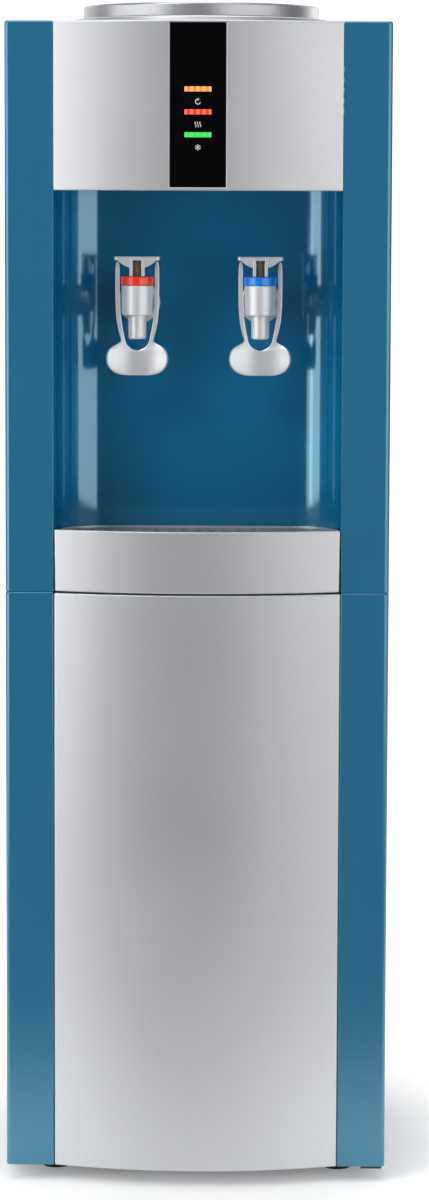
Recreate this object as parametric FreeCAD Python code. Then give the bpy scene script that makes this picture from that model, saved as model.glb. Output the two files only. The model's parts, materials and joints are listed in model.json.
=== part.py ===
import FreeCAD, Part
import math
import os

# A floor-standing water cooler, in millimetres.
# The front faces -Y, +Z is up, and the floor under the feet is z = 0.

# Overall form
stile_half_width = 155.0
stile_width = 39.0
front_bulge = 20.0
body_depth = 279.0
condenser_reach = 21.0

# Heights, from the floor up
foot_height = 12.0
door_lift = 1.0
door_height = 471.0
seam = 2.0
tray_front_height = 50.0
niche_height = 272.0
head_height = 134.0
collar_height = 17.0

# Walls and gaps
wall = 3.0
sheet = 0.8
plate = 1.5
panel_gap = 0.3
touch_gap = 0.05
hidden_gap = 0.2
stile_depth = 40.0
stile_edge_radius = 4.0
edge_radius = 1.2
side_panel_drop = 36.0
side_panel_setback = 28.0

# Niche
niche_depth = 94.0
niche_corner_radius = 38.0
niche_floor_setback = 6.0

# Head, control strip and lamps
strip_half_width = 22.5
strip_border_low = 2.6
strip_border_high = 1.6
strip_sink = 0.4
strip_flange = 5.0
strip_flange_thickness = 1.5
lamp_half_width = 10.8
lamp_height = 4.2
lamp_fit = 0.15
lamp_drop = 54.0
lamp_pitch = 18.0
lamp_count = 3
lamp_depth = 5.5
board_half_width = 18.0
board_margin = 8.0
board_thickness = 1.6
crossbar_height = 28.0

# Top cover, collar and probe
cover_thickness = 3.0
cover_ledge = 6.0
cover_ledge_thickness = 4.0
dome_radius = 112.0
dome_height = 9.0
collar_radius = 98.0
collar_seat = 4.0
collar_seat_depth = 6.0
collar_edge_radius = 4.0
collar_rim = 5.0
collar_throat_depth = 10.0
funnel_depth = 30.0
well_radius = 33.0
well_depth = 48.0
collar_wall = 3.0
outlet_radius = 12.0
outlet_length = 18.0
probe_radius = 9.0
probe_wall = 3.0
probe_height = 53.0
probe_tip_radius = 3.0
probe_tip_height = 10.0
probe_flange_radius = 16.0
probe_flange_thickness = 3.0
probe_slot_width = 4.0
probe_slot_height = 22.0
running_gap = 0.1

# Drip tray and grille
tray_gap = 0.5
tray_wall = 2.5
tray_floor_gap = 0.3
tray_rim_drop = 4.5
tray_draft = 1.5
grille_sink = 1.5
grille_thickness = 3.0
grille_ledge = 2.0
grille_gap = 0.4
slot_count = 19
slot_width = 5.0
slot_pitch = 11.0
slot_length = 62.0

# Cabinet door
door_thickness = 22.0
door_rear_gap = 2.0
door_end_solid = 16.0
hinge_inset = 8.0
hinge_pin_radius = 3.0
hinge_fit = 0.05
hinge_pin_depth = 12.0
hinge_head_radius = 5.5
hinge_head_height = 2.0
hinge_tab_thickness = 2.0
finger_pull_height = 90.0
finger_pull_radius = 11.0
finger_pull_depth = 7.0
catch_height = 250.0
catch_inset = 14.0
catch_length = 26.0
catch_width = 10.0
magnet_depth = 6.0
strike_thickness = 1.5

# Cabinet liner
liner_side_room = 9.0
liner_depth = 148.0
liner_wall = 2.5

# Feet
foot_radius = 12.5
foot_base_radius = 11.0
foot_stem_radius = 3.0
foot_inset_side = 38.0
foot_inset_front = 52.0
foot_inset_rear = 28.0

# Taps
tap_half_spacing = 50.0
tap_reach = 48.0
tap_height = 231.0
tap_spout_length = 19.2
tap_spout_radius = 7.3
tap_spout_bore = 5.0
tap_body_drop = 9.3
tap_body_rise = 15.0
tap_body_radius = 13.0
tap_body_foot_radius = 12.3
tap_chamber_radius = 10.0
tap_seat_height = 3.8
tap_barrel_radius = 13.2
tap_flange_radius = 19.0
tap_flange_thickness = 4.0
tap_shank_radius = 8.0
tap_shank_length = 25.0
tap_inlet_bore = 4.5
tap_hole_gap = 0.3
cap_radius = 13.4
cap_height = 7.2
cap_skirt_length = 4.4
cap_skirt_wall = 2.2
cap_skirt_gap = 0.3
stem_radius = 3.0
stem_fit = 0.08
stem_rise_over_pin = 3.2
plug_radius = 7.5
plug_height = 6.0
spring_radius = 5.2
spring_wire = 0.6
spring_turns = 5
spring_end_gap = 0.3
pin_radius = 1.5
pin_fit = 0.05
pin_half_length = 7.0
pin_press = 0.02
nut_flats = 26.0
nut_height = 8.0

# Tap levers
lever_pin_rise = 8.8
lever_top_rise = 7.4
lever_length = 96.2
lever_arm_outer = 18.0
lever_arm_inner = 14.0
lever_thickness = 3.6
lever_bar_half = 18.5
lever_bar_height = 3.2
lever_front_reach = 10.5
lever_back_reach = 4.0
lever_web_half = 16.0
lever_web_drop = 7.0
lever_web_thickness = 2.5
post_gap = 7.0
post_thickness = 2.6
post_front_reach = 10.0
post_foot_gap = 0.2
paddle_half_width = 25.0
paddle_flat_half = 11.0
paddle_wide_height = 12.3
paddle_shoulder_half = 13.0
paddle_shoulder_height = 27.5
arm_bend_height = 45.0
loop_bottom_height = 20.2
loop_half = 9.8
loop_side_height = 26.5
lever_edge_radius = 0.8
arm_curve_rise = 1.0

# Plates and tanks
tank_y = 46.0
cold_tank_radius = 66.0
cold_tank_height = 119.0
cold_tank_wall = 1.2
tank_roof_gap = 4.0
insulation_radius = 87.0
insulation_floor = 16.0
insulation_gap = 0.7
coil_tube_radius = 3.0
coil_gap = 0.5
coil_turns = 5
coil_pitch = 10.0
coil_rise = 20.0
coil_bend = 8.0
coil_tail = 34.0
coil_head = 56.0
hot_tank_y = 70.0
hot_tank_radius = 45.0
hot_tank_height = 150.0
hot_tank_wall = 1.2
jacket_wall = 10.0
jacket_floor = 15.0
heater_thickness = 2.4
heater_height = 30.0
heater_rise = 18.0
heater_gap = 0.6
thermostat_radius = 8.0
thermostat_depth = 5.0
thermostat_rise = 95.0
thermostat_pitch = 26.0
shelf_front = 18.0
shelf_flange = 12.0

# Hoses
hose_radius = 5.0
hose_bore = 3.2
hose_bend = 14.0
hose_hole_gap = 1.0
hose_reach = 2.0
cold_outlet_x = 30.0
cold_outlet_y = 20.0
hot_outlet_x = 18.0
hot_outlet_y = 44.0
feed_outlet_x = 40.0
feed_run_x = 76.0
feed_drop = 28.0
feed_inlet_rise = 9.0
drain_height = 330.0
drain_spout_radius = 8.0
drain_spout_bore = 5.0
drain_spout_out = 14.0
drain_spout_in = 20.0
drain_flange_radius = 13.0
drain_cap_radius = 11.0
drain_cap_length = 10.0
drain_cap_end = 3.0

# Compressor
compressor_y = 88.0
compressor_half_length = 72.0
compressor_half_width = 44.0
compressor_height = 128.0
compressor_top_round = 26.0
compressor_wall = 12.0
compressor_seam_reach = 2.5
compressor_seam_height = 4.0
compressor_seam_level = 62.0
mount_height = 13.5
mount_radius = 9.0
mount_x = 66.0
mount_y = 36.0
mount_plate_half_length = 80.0
mount_plate_half_width = 46.0
mount_plate_thickness = 3.0

# Condenser and refrigerant pipes
condenser_tube_radius = 2.4
condenser_wire_radius = 0.75
condenser_inset = 51.0
condenser_runs = 11
condenser_pitch = 44.0
condenser_rise_over_drain = 60.0
condenser_wire_count = 15
condenser_wire_inset = 6.0
condenser_wire_over = 14.0
standoff_half_width = 4.0
pipe_radius = 2.4
pipe_bend = 12.0
discharge_x = 36.0
discharge_level = 205.0
suction_x = 36.0
suction_level = 240.0
drier_radius = 8.0
drier_length = 50.0
drier_neck = 8.0
drier_inset = 31.0
drier_y = 118.0
drier_drop = 30.0
capillary_radius = 1.4
capillary_gap = 28.0
capillary_rise = 15.0
pipe_hole_gap = 1.0

# Rear panel, switches and gland
rear_panel_low = 232.0
rear_panel_top_gap = 3.0
side_flange = 16.0
base_flange = 16.0
vent_rows = 5
vent_pitch = 9.0
vent_width = 60.0
vent_height = 3.5
vent_inset = 55.0
vent_drop = 67.0
screw_inset = 8.0
screw_rows = 4
screw_low = 262.0
screw_top_inset = 30.0
screw_radius = 2.0
screw_head_radius = 3.8
screw_head_height = 2.4
screw_length = 9.0
switch_half_spacing = 24.0
switch_drop = 50.0
switch_half_width = 14.0
switch_half_height = 10.5
switch_bezel = 2.5
switch_bezel_thickness = 2.5
switch_depth = 18.0
rocker_half_width = 11.0
rocker_half_height = 7.6
rocker_root_half = 6.0
rocker_front = 5.0
rocker_dip = 2.4
rocker_back = 4.0
rocker_tilt = 10.0
rocker_gap = 0.4
rocker_pivot_sink = 1.0
rocker_pin_radius = 1.5
rocker_pin_length = 1.4
gland_inset = 43.0
gland_height = 270.0
gland_flange_radius = 11.0
gland_flange_thickness = 4.0
gland_body_radius = 8.0
gland_bore = 4.0
gland_length = 14.0

# Levels that follow from the sizes above
apex_y = -(front_bulge + body_depth + condenser_reach) / 2
front_y = apex_y + front_bulge
rear_y = front_y + body_depth
condenser_y = rear_y + condenser_reach
niche_half_width = stile_half_width - stile_width
silver_half = niche_half_width - panel_gap
front_radius = (silver_half ** 2 + front_bulge ** 2) / (2 * front_bulge)
front_centre_y = apex_y + front_radius
base_z = foot_height
base_top = base_z + plate
door_bottom = foot_height + door_lift
door_top = door_bottom + door_height
deck_z = door_top + seam
tray_top = deck_z + tray_gap + tray_front_height
head_bottom = tray_top + niche_height
head_top = head_bottom + head_height
stile_top = head_top + tray_gap
collar_top = stile_top + collar_height
side_panel_top = stile_top - side_panel_drop
niche_rear = front_y + niche_depth
niche_back = niche_rear + wall
side_x = stile_half_width
inner_x = stile_half_width - hidden_gap
rear_inner = rear_y - sheet
flange_inner = rear_inner - sheet
door_rear = front_y + door_thickness
body_front = door_rear + door_rear_gap
side_front = front_y + side_panel_setback
hinge_x = stile_half_width - hinge_inset
hinge_y = door_rear - hinge_inset
tap_y = niche_rear - tap_reach
tap_z = deck_z + tap_height
tap_body_low = tap_z - tap_body_drop
tap_spout_low = tap_body_low - tap_spout_length
tap_body_top = tap_z + tap_body_rise
cap_top = tap_body_top + cap_height
pin_z = cap_top + lever_pin_rise
lever_top = pin_z + lever_top_rise
paddle_low = lever_top - lever_length
chamber_low = tap_body_low + tap_seat_height
plug_top = chamber_low + plug_height
cover_low = stile_top - cover_thickness
dome_top = stile_top + dome_height
well_top = collar_top - collar_throat_depth - funnel_depth
well_floor = well_top - well_depth
tank_top = well_floor - collar_wall - tank_roof_gap
tank_low = tank_top - cold_tank_height
shelf_z = tank_low - insulation_floor - plate
coil_radius = cold_tank_radius + coil_gap + coil_tube_radius
insulation_bore = coil_radius + coil_tube_radius + insulation_gap
hot_tank_low = deck_z + plate + jacket_floor
hot_tank_top = hot_tank_low + hot_tank_height
jacket_bore = hot_tank_radius + heater_thickness + heater_gap
condenser_mid = condenser_y - condenser_tube_radius - 2 * condenser_wire_radius - touch_gap
compressor_low = base_top + mount_height + mount_plate_thickness
rocker_y = rear_y - rocker_pivot_sink
liner_half_width = stile_half_width - liner_side_room
foot_x = stile_half_width - foot_inset_side
screw_x = stile_half_width - screw_inset
screw_pitch = (side_panel_top - screw_top_inset - screw_low) / (screw_rows - 1)
gland_x = gland_inset - stile_half_width
vent_x = stile_half_width - vent_inset
vent_low = stile_top - vent_drop
switch_height = stile_top - switch_drop
drier_x = stile_half_width - drier_inset
condenser_low = drain_height + condenser_rise_over_drain
condenser_half_width = stile_half_width - condenser_inset
condenser_wire_pitch = 2 * (condenser_half_width - condenser_wire_inset) / (condenser_wire_count - 1)


def vec(x, y, z):
    return FreeCAD.Vector(x, y, z)


def block(x, y, z):
    return Part.makeBox(x[1] - x[0], y[1] - y[0], z[1] - z[0], vec(x[0], y[0], z[0]))


def rod(start, end, radius):
    way = end - start
    return Part.makeCylinder(radius, way.Length, start, way)


def taper(start, end, start_radius, end_radius):
    way = end - start
    return Part.makeCone(start_radius, end_radius, way.Length, start, way)


def join(*shapes):
    return shapes[0].multiFuse(list(shapes[1:])).removeSplitter()


def mirrored(shape):
    return shape.mirror(vec(0, 0, 0), vec(1, 0, 0))


def both_sides(shape):
    return [shape, mirrored(shape)]


def plan(z):
    return lambda x, y: vec(x, y, z)


def front_view(y):
    return lambda x, z: vec(x, y, z)


def side_view(x):
    return lambda y, z: vec(x, y, z)


def outline(plane, start, *steps):
    # A closed face: a step is a point for a straight edge, or (through, end) for an arc.
    edges = []
    here = start
    for step in steps:
        if isinstance(step[0], tuple):
            through, end = step
            edges.append(Part.Arc(plane(*here), plane(*through), plane(*end)).toShape())
        else:
            end = step
            edges.append(Part.makeLine(plane(*here), plane(*end)))
        here = end
    if here != start:
        edges.append(Part.makeLine(plane(*here), plane(*start)))
    return Part.Face(Part.Wire(edges))


def turned(centre_x, centre_y, *points):
    # A solid of revolution about a vertical axis, from (radius, height) steps.
    face = outline(lambda r, z: vec(centre_x + r, centre_y, z), *points)
    return face.revolve(vec(centre_x, centre_y, 0), vec(0, 0, 1), 360)


def rounded(shape, radius, test):
    edges = [edge for edge in shape.Edges if test(edge)]
    return shape.makeFillet(radius, edges)


def is_upright(edge):
    return abs(edge.tangentAt(edge.FirstParameter).z) > 0.999


def front_at(x, inset):
    return front_centre_y - math.sqrt((front_radius - inset) ** 2 - x * x)


def bow(half, outer, inner, z):
    # A slice of the bowed front between two insets from its face.
    outer_edge = front_at(half, outer)
    inner_edge = front_at(half, inner)
    face = outline(
        plan(z[0]),
        (-half, inner_edge),
        (-half, outer_edge),
        ((0, front_at(0, outer)), (half, outer_edge)),
        (half, inner_edge),
        ((0, front_at(0, inner)), (-half, inner_edge)),
    )
    return face.extrude(vec(0, 0, z[1] - z[0]))


def bulged(half, back, inset, z):
    # A block with a flat back and the bowed front.
    edge = front_at(half, inset)
    face = outline(
        plan(z[0]),
        (-half, back),
        (-half, edge),
        ((0, front_at(0, inset)), (half, edge)),
        (half, back),
    )
    return face.extrude(vec(0, 0, z[1] - z[0]))


def recess(half, front, rear, radius, z):
    # A straight-sided block with rounded rear corners.
    k = radius * (1 - math.sqrt(0.5))
    face = outline(
        plan(z[0]),
        (-half, front),
        (half, front),
        (half, rear - radius),
        ((half - k, rear - k), (half - radius, rear)),
        (radius - half, rear),
        ((k - half, rear - k), (-half, rear - radius)),
    )
    return face.extrude(vec(0, 0, z[1] - z[0]))


def bent_path(points, bend):
    # Straight runs joined by tangent arcs.
    edges = []
    here = points[0]
    for before, corner, after in zip(points, points[1:], points[2:]):
        back = before - corner
        onward = after - corner
        room = 0.45 * min(back.Length, onward.Length)
        back.normalize()
        onward.normalize()
        half_turn = (math.pi - back.getAngle(onward)) / 2
        radius = min(bend, room / math.tan(half_turn))
        reach = radius * math.tan(half_turn)
        middle = back + onward
        middle.normalize()
        start = corner + back * reach
        end = corner + onward * reach
        crest = corner + middle * (radius / math.cos(half_turn) - radius)
        edges.append(Part.makeLine(here, start))
        edges.append(Part.Arc(start, crest, end).toShape())
        here = end
    edges.append(Part.makeLine(here, points[-1]))
    return Part.Wire(edges)


def tube(path, radius):
    first = path.OrderedEdges[0]
    start = first.valueAt(first.FirstParameter)
    heading = first.tangentAt(first.FirstParameter)
    circle = Part.Wire(Part.makeCircle(radius, start, heading))
    return path.makePipeShell([circle], True, False)


def helix_edges(centre_x, centre_y, low, radius, pitch, turns, start_angle):
    # A coil as one arc for each quarter turn.
    def point(quarter):
        angle = start_angle + quarter * math.pi / 2
        x = centre_x + radius * math.cos(angle)
        y = centre_y + radius * math.sin(angle)
        return vec(x, y, low + pitch * quarter / 4)

    quarters = range(4 * turns)
    return [Part.Arc(point(q), point(q + 0.5), point(q + 1)).toShape() for q in quarters]


def group(shapes):
    return Part.makeCompound(shapes)


# Body shell

def make_base_plate():
    floor = block((-inner_x, inner_x), (side_front, flange_inner), (base_z, base_top))
    side = block((inner_x - plate, inner_x), (side_front, flange_inner), (base_z, base_top + base_flange))
    rear = block((-inner_x, inner_x), (flange_inner - plate, flange_inner), (base_z, base_top + base_flange))
    tab_x = (hinge_x - hinge_head_radius - wall, hinge_x + hinge_head_radius)
    tab_y = (hinge_y - hinge_head_radius - wall, side_front - hidden_gap)
    tab_z = (base_z - hinge_tab_thickness, base_z)
    root_x = (tab_x[0] - wall, inner_x - side_flange + hidden_gap)
    tab = block(tab_x, tab_y, tab_z)
    root = block(root_x, (tab_y[0], side_front + wall), tab_z)
    shape = join(floor, rear, tab, root, *both_sides(side))
    holes = [rod(vec(x, y, base_z), vec(x, y, base_top), foot_stem_radius + hinge_fit) for x, y in foot_places()]
    holes.append(rod(vec(hinge_x, hinge_y, tab_z[0]), vec(hinge_x, hinge_y, base_z), hinge_pin_radius))
    return shape.cut(holes)


def foot_places():
    front = front_y + foot_inset_front
    rear = rear_y - foot_inset_rear
    return [(x, y) for x in (-foot_x, foot_x) for y in (front, rear)]


def make_rubber_feet():
    feet = []
    for x, y in foot_places():
        pad = taper(vec(x, y, 0), vec(x, y, foot_height), foot_base_radius, foot_radius)
        stem = rod(vec(x, y, foot_height), vec(x, y, base_top), foot_stem_radius)
        feet.append(join(pad, stem))
    return group(feet)


def make_right_side_panel():
    outer = side_x + sheet
    z = (base_z - sheet, side_panel_top)
    skin = block((side_x, outer), (side_front, rear_inner), z)
    rear = block((outer - side_flange, outer), (flange_inner, rear_inner), z)
    under = block((outer - side_flange, outer), (side_front, rear_inner), (base_z - sheet, base_z))
    return join(skin, rear, under)


def rear_standoffs():
    x = 4.5 * condenser_wire_pitch
    touch = condenser_mid - condenser_tube_radius - touch_gap
    blocks = []
    for run in (1, condenser_runs - 2):
        z = condenser_low + run * condenser_pitch
        for centre in (-x, x):
            width = (centre - standoff_half_width, centre + standoff_half_width)
            height = (z - standoff_half_width, z + standoff_half_width)
            blocks.append(block(width, (rear_inner, touch), height))
    return blocks


def switch_centres():
    return [(-switch_half_spacing, switch_height), (switch_half_spacing, switch_height)]


def screw_places():
    levels = [screw_low + row * screw_pitch for row in range(screw_rows)]
    return [(x, z) for x in (-screw_x, screw_x) for z in levels]


def make_rear_panel():
    through = (rear_inner - plate, rear_y + plate)
    skin = block((-inner_x, inner_x), (rear_inner, rear_y), (rear_panel_low, stile_top - rear_panel_top_gap))
    shape = join(skin, *rear_standoffs())
    tools = []
    for x, z in switch_centres():
        width = (x - switch_half_width - hidden_gap, x + switch_half_width + hidden_gap)
        height = (z - switch_half_height - hidden_gap, z + switch_half_height + hidden_gap)
        tools.append(block(width, through, height))
    for row in range(vent_rows):
        low = vent_low + row * vent_pitch
        for x in (-vent_x, vent_x):
            tools.append(block((x - vent_width / 2, x + vent_width / 2), through, (low, low + vent_height)))
    for x, z in screw_places():
        tools.append(rod(vec(x, through[0], z), vec(x, through[1], z), screw_radius + touch_gap))
    drain = drain_spout_radius + touch_gap
    gland = gland_body_radius + touch_gap
    tools.append(rod(vec(0, through[0], drain_height), vec(0, through[1], drain_height), drain))
    tools.append(rod(vec(gland_x, through[0], gland_height), vec(gland_x, through[1], gland_height), gland))
    x, z = liquid_line_crossing()
    tools.append(rod(vec(x, through[0], z), vec(x, through[1], z), pipe_radius + pipe_hole_gap))
    return shape.cut(tools)


def make_panel_screws():
    screws = []
    for x, z in screw_places():
        head = rod(vec(x, rear_y, z), vec(x, rear_y + screw_head_height, z), screw_head_radius)
        head = rounded(head, screw_head_height / 2, lambda edge: edge.CenterOfMass.y > rear_y + touch_gap
                       and edge.Curve.TypeId == "Part::GeomCircle")
        shank = rod(vec(x, rear_y - screw_length, z), vec(x, rear_y, z), screw_radius)
        screws.append(join(head, shank))
    return group(screws)


def drill_screws(shape):
    reach = rear_y - screw_length - plate
    radius = screw_radius + touch_gap
    return shape.cut([rod(vec(x, reach, z), vec(x, rear_y, z), radius) for x, z in screw_places()])


# Front: frame, niche, head and top

def make_front_frame():
    stile = block((niche_half_width, side_x), (front_y, front_y + stile_depth), (deck_z, stile_top))
    stile = rounded(stile, stile_edge_radius, lambda edge: is_upright(edge)
                    and edge.CenterOfMass.x > side_x - touch_gap and edge.CenterOfMass.y < front_y + touch_gap)
    hollow_x = (niche_half_width - wall, side_x - wall)
    hollow = block(hollow_x, (front_y + wall, front_y + 2 * stile_depth), (deck_z + wall, cover_low))
    niche_side = block((hollow_x[0], niche_half_width + wall + panel_gap),
                       (front_y + wall, front_y + stile_depth), (deck_z, cover_low))
    stile = stile.cut([hollow, niche_side])
    rail_y = (front_y + stile_depth - wall, flange_inner - hidden_gap)
    rail = block((side_x - wall, side_x), rail_y, (side_panel_top - stile_depth, stile_top))
    ledge_x = (side_x - wall - cover_ledge, side_x)
    ledge = block(ledge_x, rail_y, (cover_low - cover_ledge_thickness, cover_low))
    bar_x = side_x - wall / 2
    bar_front = front_at(silver_half, wall) + panel_gap
    crossbar = block((-bar_x, bar_x), (bar_front, bar_front + wall), (cover_low - crossbar_height, cover_low))
    link = block((niche_half_width, bar_x), (front_y, bar_front + wall), (cover_low - crossbar_height, cover_low))
    parts = []
    for piece in (stile, rail, ledge, link):
        parts += both_sides(piece)
    shape = join(crossbar, *parts)
    pin_hole = rod(vec(hinge_x, hinge_y, deck_z), vec(hinge_x, hinge_y, deck_z + wall), hinge_pin_radius)
    return shape.cut(pin_hole)


def make_dispenser_niche():
    top = head_bottom + wall
    front = front_y + wall
    outer = recess(niche_half_width + wall, front, niche_back, niche_corner_radius + wall, (deck_z, top))
    void = recess(niche_half_width, front - wall, niche_rear, niche_corner_radius, (deck_z + wall, head_bottom))
    shell = outer.cut(void)
    mouth = block((-niche_half_width, niche_half_width), (front, front + niche_floor_setback), (deck_z, deck_z + wall))
    brow = block((-niche_half_width, niche_half_width), (front, front + wall), (head_bottom, top))
    ceiling = bulged(silver_half, front + 2 * wall, wall + panel_gap, (head_bottom, top))
    shape = join(shell.cut([mouth, brow]), ceiling)
    holes = []
    for x in (-tap_half_spacing, tap_half_spacing):
        holes.append(rod(vec(x, niche_rear - wall, tap_z), vec(x, niche_back + wall, tap_z),
                         tap_shank_radius + tap_hole_gap))
    return shape.cut(holes)


def on_bow_rim(edge, low, high):
    # The outer rim of a bowed panel: its long edges, top and bottom.
    centre = edge.CenterOfMass
    level = abs(centre.z - low) < touch_gap or abs(centre.z - high) < touch_gap
    if not level or edge.Curve.TypeId != "Part::GeomCircle":
        return False
    return abs(edge.Curve.Radius - front_radius) < touch_gap


def strip_window():
    return (head_bottom + strip_border_low, head_top - strip_border_high)


def lamp_levels():
    return [head_top - lamp_drop - index * lamp_pitch for index in range(lamp_count)]


def make_head_panel():
    shell = bow(silver_half, 0, wall, (head_bottom, head_top))
    shell = rounded(shell, edge_radius, lambda edge: on_bow_rim(edge, head_bottom, head_top))
    low, high = strip_window()
    window = block((-strip_half_width, strip_half_width), (apex_y - wall, front_y), (low, high))
    return shell.cut(window)


def make_control_strip():
    low, high = strip_window()
    half = strip_half_width - hidden_gap
    face = bow(half, strip_sink, wall + touch_gap, (low + hidden_gap, high - hidden_gap))
    flange_z = (head_bottom + wall + panel_gap, high - strip_border_high)
    flange_inset = wall + touch_gap
    flange = bow(half + strip_flange, flange_inset, flange_inset + strip_flange_thickness, flange_z)
    shape = join(face, flange)
    slots = []
    for z in lamp_levels():
        half_height = lamp_height / 2 + lamp_fit
        width = lamp_half_width + lamp_fit
        slots.append(block((-width, width), (apex_y - wall, front_y), (z - half_height, z + half_height)))
    return shape.cut(slots)


def make_lens(index):
    z = lamp_levels()[index]
    return bow(lamp_half_width, strip_sink / 2, lamp_depth, (z - lamp_height / 2, z + lamp_height / 2))


def make_indicator_board():
    levels = lamp_levels()
    front = front_at(0, lamp_depth) + lamp_fit * 2
    card_z = (levels[-1] - board_margin, levels[0] + board_margin)
    card = block((-board_half_width, board_half_width), (front, front + board_thickness), card_z)
    socket_x = (-board_half_width / 2, board_half_width / 2)
    socket_y = (front + board_thickness, front + board_thickness + board_margin)
    socket = block(socket_x, socket_y, (levels[-1], levels[-1] + board_margin))
    return join(card, socket)


def make_top_cover():
    z = (cover_low, stile_top)
    split = front_y + stile_depth + panel_gap
    front = bulged(silver_half, split, wall + panel_gap, z)
    half = side_x - wall - panel_gap
    rear = block((-half, half), (split, flange_inner), z)
    dome = taper(vec(0, 0, stile_top), vec(0, 0, dome_top), dome_radius, collar_radius + edge_radius)
    shape = join(front, rear, dome)
    bore = collar_radius - collar_seat + running_gap * 2
    return shape.cut(rod(vec(0, 0, cover_low - wall), vec(0, 0, dome_top + wall), bore))


def make_bottle_collar():
    seat = collar_radius - collar_seat
    crown = collar_radius - collar_edge_radius
    rim = crown - collar_rim
    throat = collar_top - collar_throat_depth
    slope = collar_edge_radius * (1 - math.sqrt(0.5))
    shoulder = dome_top
    floor = well_floor - collar_wall
    under = throat - collar_wall
    bore = probe_radius + running_gap
    return turned(
        0, 0,
        (seat, shoulder - collar_seat_depth),
        (seat, shoulder),
        (collar_radius, shoulder),
        (collar_radius, collar_top - collar_edge_radius),
        ((collar_radius - slope, collar_top - slope), (crown, collar_top)),
        (rim, collar_top),
        (rim, throat),
        (well_radius, well_top),
        (well_radius, well_floor),
        (bore, well_floor),
        (bore, floor - outlet_length),
        (outlet_radius, floor - outlet_length),
        (outlet_radius, floor),
        (well_radius + collar_wall, floor),
        (well_radius + collar_wall, well_top - collar_wall),
        (rim + touch_gap, under),
        (rim + touch_gap, shoulder - collar_seat_depth),
    )


def make_bottle_probe():
    low = well_floor - outlet_length
    top = well_floor + probe_height
    shank_top = top - probe_tip_height
    shank = rod(vec(0, 0, low), vec(0, 0, shank_top), probe_radius)
    tip = taper(vec(0, 0, shank_top), vec(0, 0, top), probe_radius, probe_tip_radius)
    flange_top = well_floor + probe_flange_thickness
    flange = rod(vec(0, 0, well_floor), vec(0, 0, flange_top), probe_flange_radius)
    shape = join(shank, tip, flange)
    bore = rod(vec(0, 0, low), vec(0, 0, shank_top), probe_radius - probe_wall)
    slot_low = flange_top + probe_flange_thickness
    half = probe_slot_width / 2
    height = (slot_low, slot_low + probe_slot_height)
    across = block((-probe_radius, probe_radius), (-half, half), height)
    along = block((-half, half), (-probe_radius, probe_radius), height)
    return shape.cut([bore, across, along])


# Drip tray and grille

def tray_rear():
    return niche_rear - tray_gap


def tray_body(half, rear, radius, inset, z):
    overlap = front_y + stile_depth / 2
    front = bulged(half, overlap + wall, inset, z)
    basin = recess(half, overlap, rear, radius, z)
    return join(front, basin)


def make_drip_tray():
    half = niche_half_width - tray_gap
    low = deck_z + wall + tray_floor_gap
    rim = tray_top - tray_rim_drop
    radius = niche_corner_radius - tray_gap
    narrow = half - tray_draft
    basin = tray_body(narrow, tray_rear(), radius, tray_wall / 2, (low, rim))
    apron = bow(half, 0, tray_wall + wall, (deck_z + tray_gap, tray_top))
    floor_room = block((-half, half), (front_y - tray_wall, front_y + 2 * stile_depth), (deck_z, low))
    apron = apron.cut(floor_room.common(bulged(half, front_y + 2 * stile_depth, tray_wall, (deck_z, low))))
    apron = rounded(apron, edge_radius, lambda edge: on_bow_rim(edge, deck_z + tray_gap, tray_top))
    wedge = outline(
        front_view(apex_y - wall),
        (half, tray_top),
        (half + wall, tray_top),
        (half + wall, deck_z),
        (half - tray_draft, deck_z),
    ).extrude(vec(0, front_bulge + 2 * stile_depth, 0))
    shape = join(basin, apron).cut(both_sides(wedge))
    upper = tray_inside(tray_wall, (ledge_level(), tray_top + wall))
    lower = tray_inside(tray_wall + grille_ledge, (low + tray_wall, tray_top))
    return shape.cut([upper, lower])


def ledge_level():
    return tray_top - tray_rim_drop - grille_sink - grille_thickness


def tray_inside(inset, z):
    half = niche_half_width - tray_gap - tray_draft - inset
    radius = niche_corner_radius - tray_gap - inset
    return tray_body(half, tray_rear() - inset, radius, inset + tray_wall, z)


def make_drip_grille():
    low = ledge_level() + touch_gap
    top = low + grille_thickness
    body = tray_inside(tray_wall + grille_gap, (low, top))
    slots = []
    middle = (front_y + tray_rear()) / 2 - tray_wall
    y = (middle - slot_length / 2, middle + slot_length / 2)
    for index in range(slot_count):
        x = (index - (slot_count - 1) / 2) * slot_pitch
        slots.append(block((x - slot_width / 2, x + slot_width / 2), y, (low, top)))
    return body.cut(slots)


# Cabinet door and liner

def make_door_frame():
    z = (door_bottom, door_top)
    body = block((-side_x, side_x), (front_y, door_rear), z)
    body = rounded(body, stile_edge_radius, lambda edge: is_upright(edge) and edge.CenterOfMass.y < front_y + touch_gap)
    body = rounded(body, hinge_inset, lambda edge: is_upright(edge)
                   and edge.CenterOfMass.y > door_rear - touch_gap and edge.CenterOfMass.x > 0)
    bay = block((-niche_half_width, niche_half_width), (front_y - wall, door_rear - wall), z)
    hollow_z = (door_bottom + door_end_solid, door_top - door_end_solid)
    hollow_x = (niche_half_width + wall, side_x - wall - hinge_inset)
    hollow = block(hollow_x, (front_y + wall, door_rear - wall), hollow_z)
    pin_holes = []
    radius = hinge_pin_radius + hinge_fit
    for low in (door_bottom, door_top - hinge_pin_depth):
        pin_holes.append(rod(vec(hinge_x, hinge_y, low), vec(hinge_x, hinge_y, low + hinge_pin_depth), radius))
    middle = (door_bottom + door_top) / 2
    pull_x = -side_x - finger_pull_radius + finger_pull_depth
    pull_z = (middle, middle + finger_pull_height)
    pull = rod(vec(pull_x, door_rear, pull_z[0]), vec(pull_x, door_rear, pull_z[1]), finger_pull_radius)
    pocket = catch_block((door_rear - strike_thickness - touch_gap, door_rear), touch_gap)
    return body.cut([bay, pull, pocket] + both_sides(hollow) + pin_holes)


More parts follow.
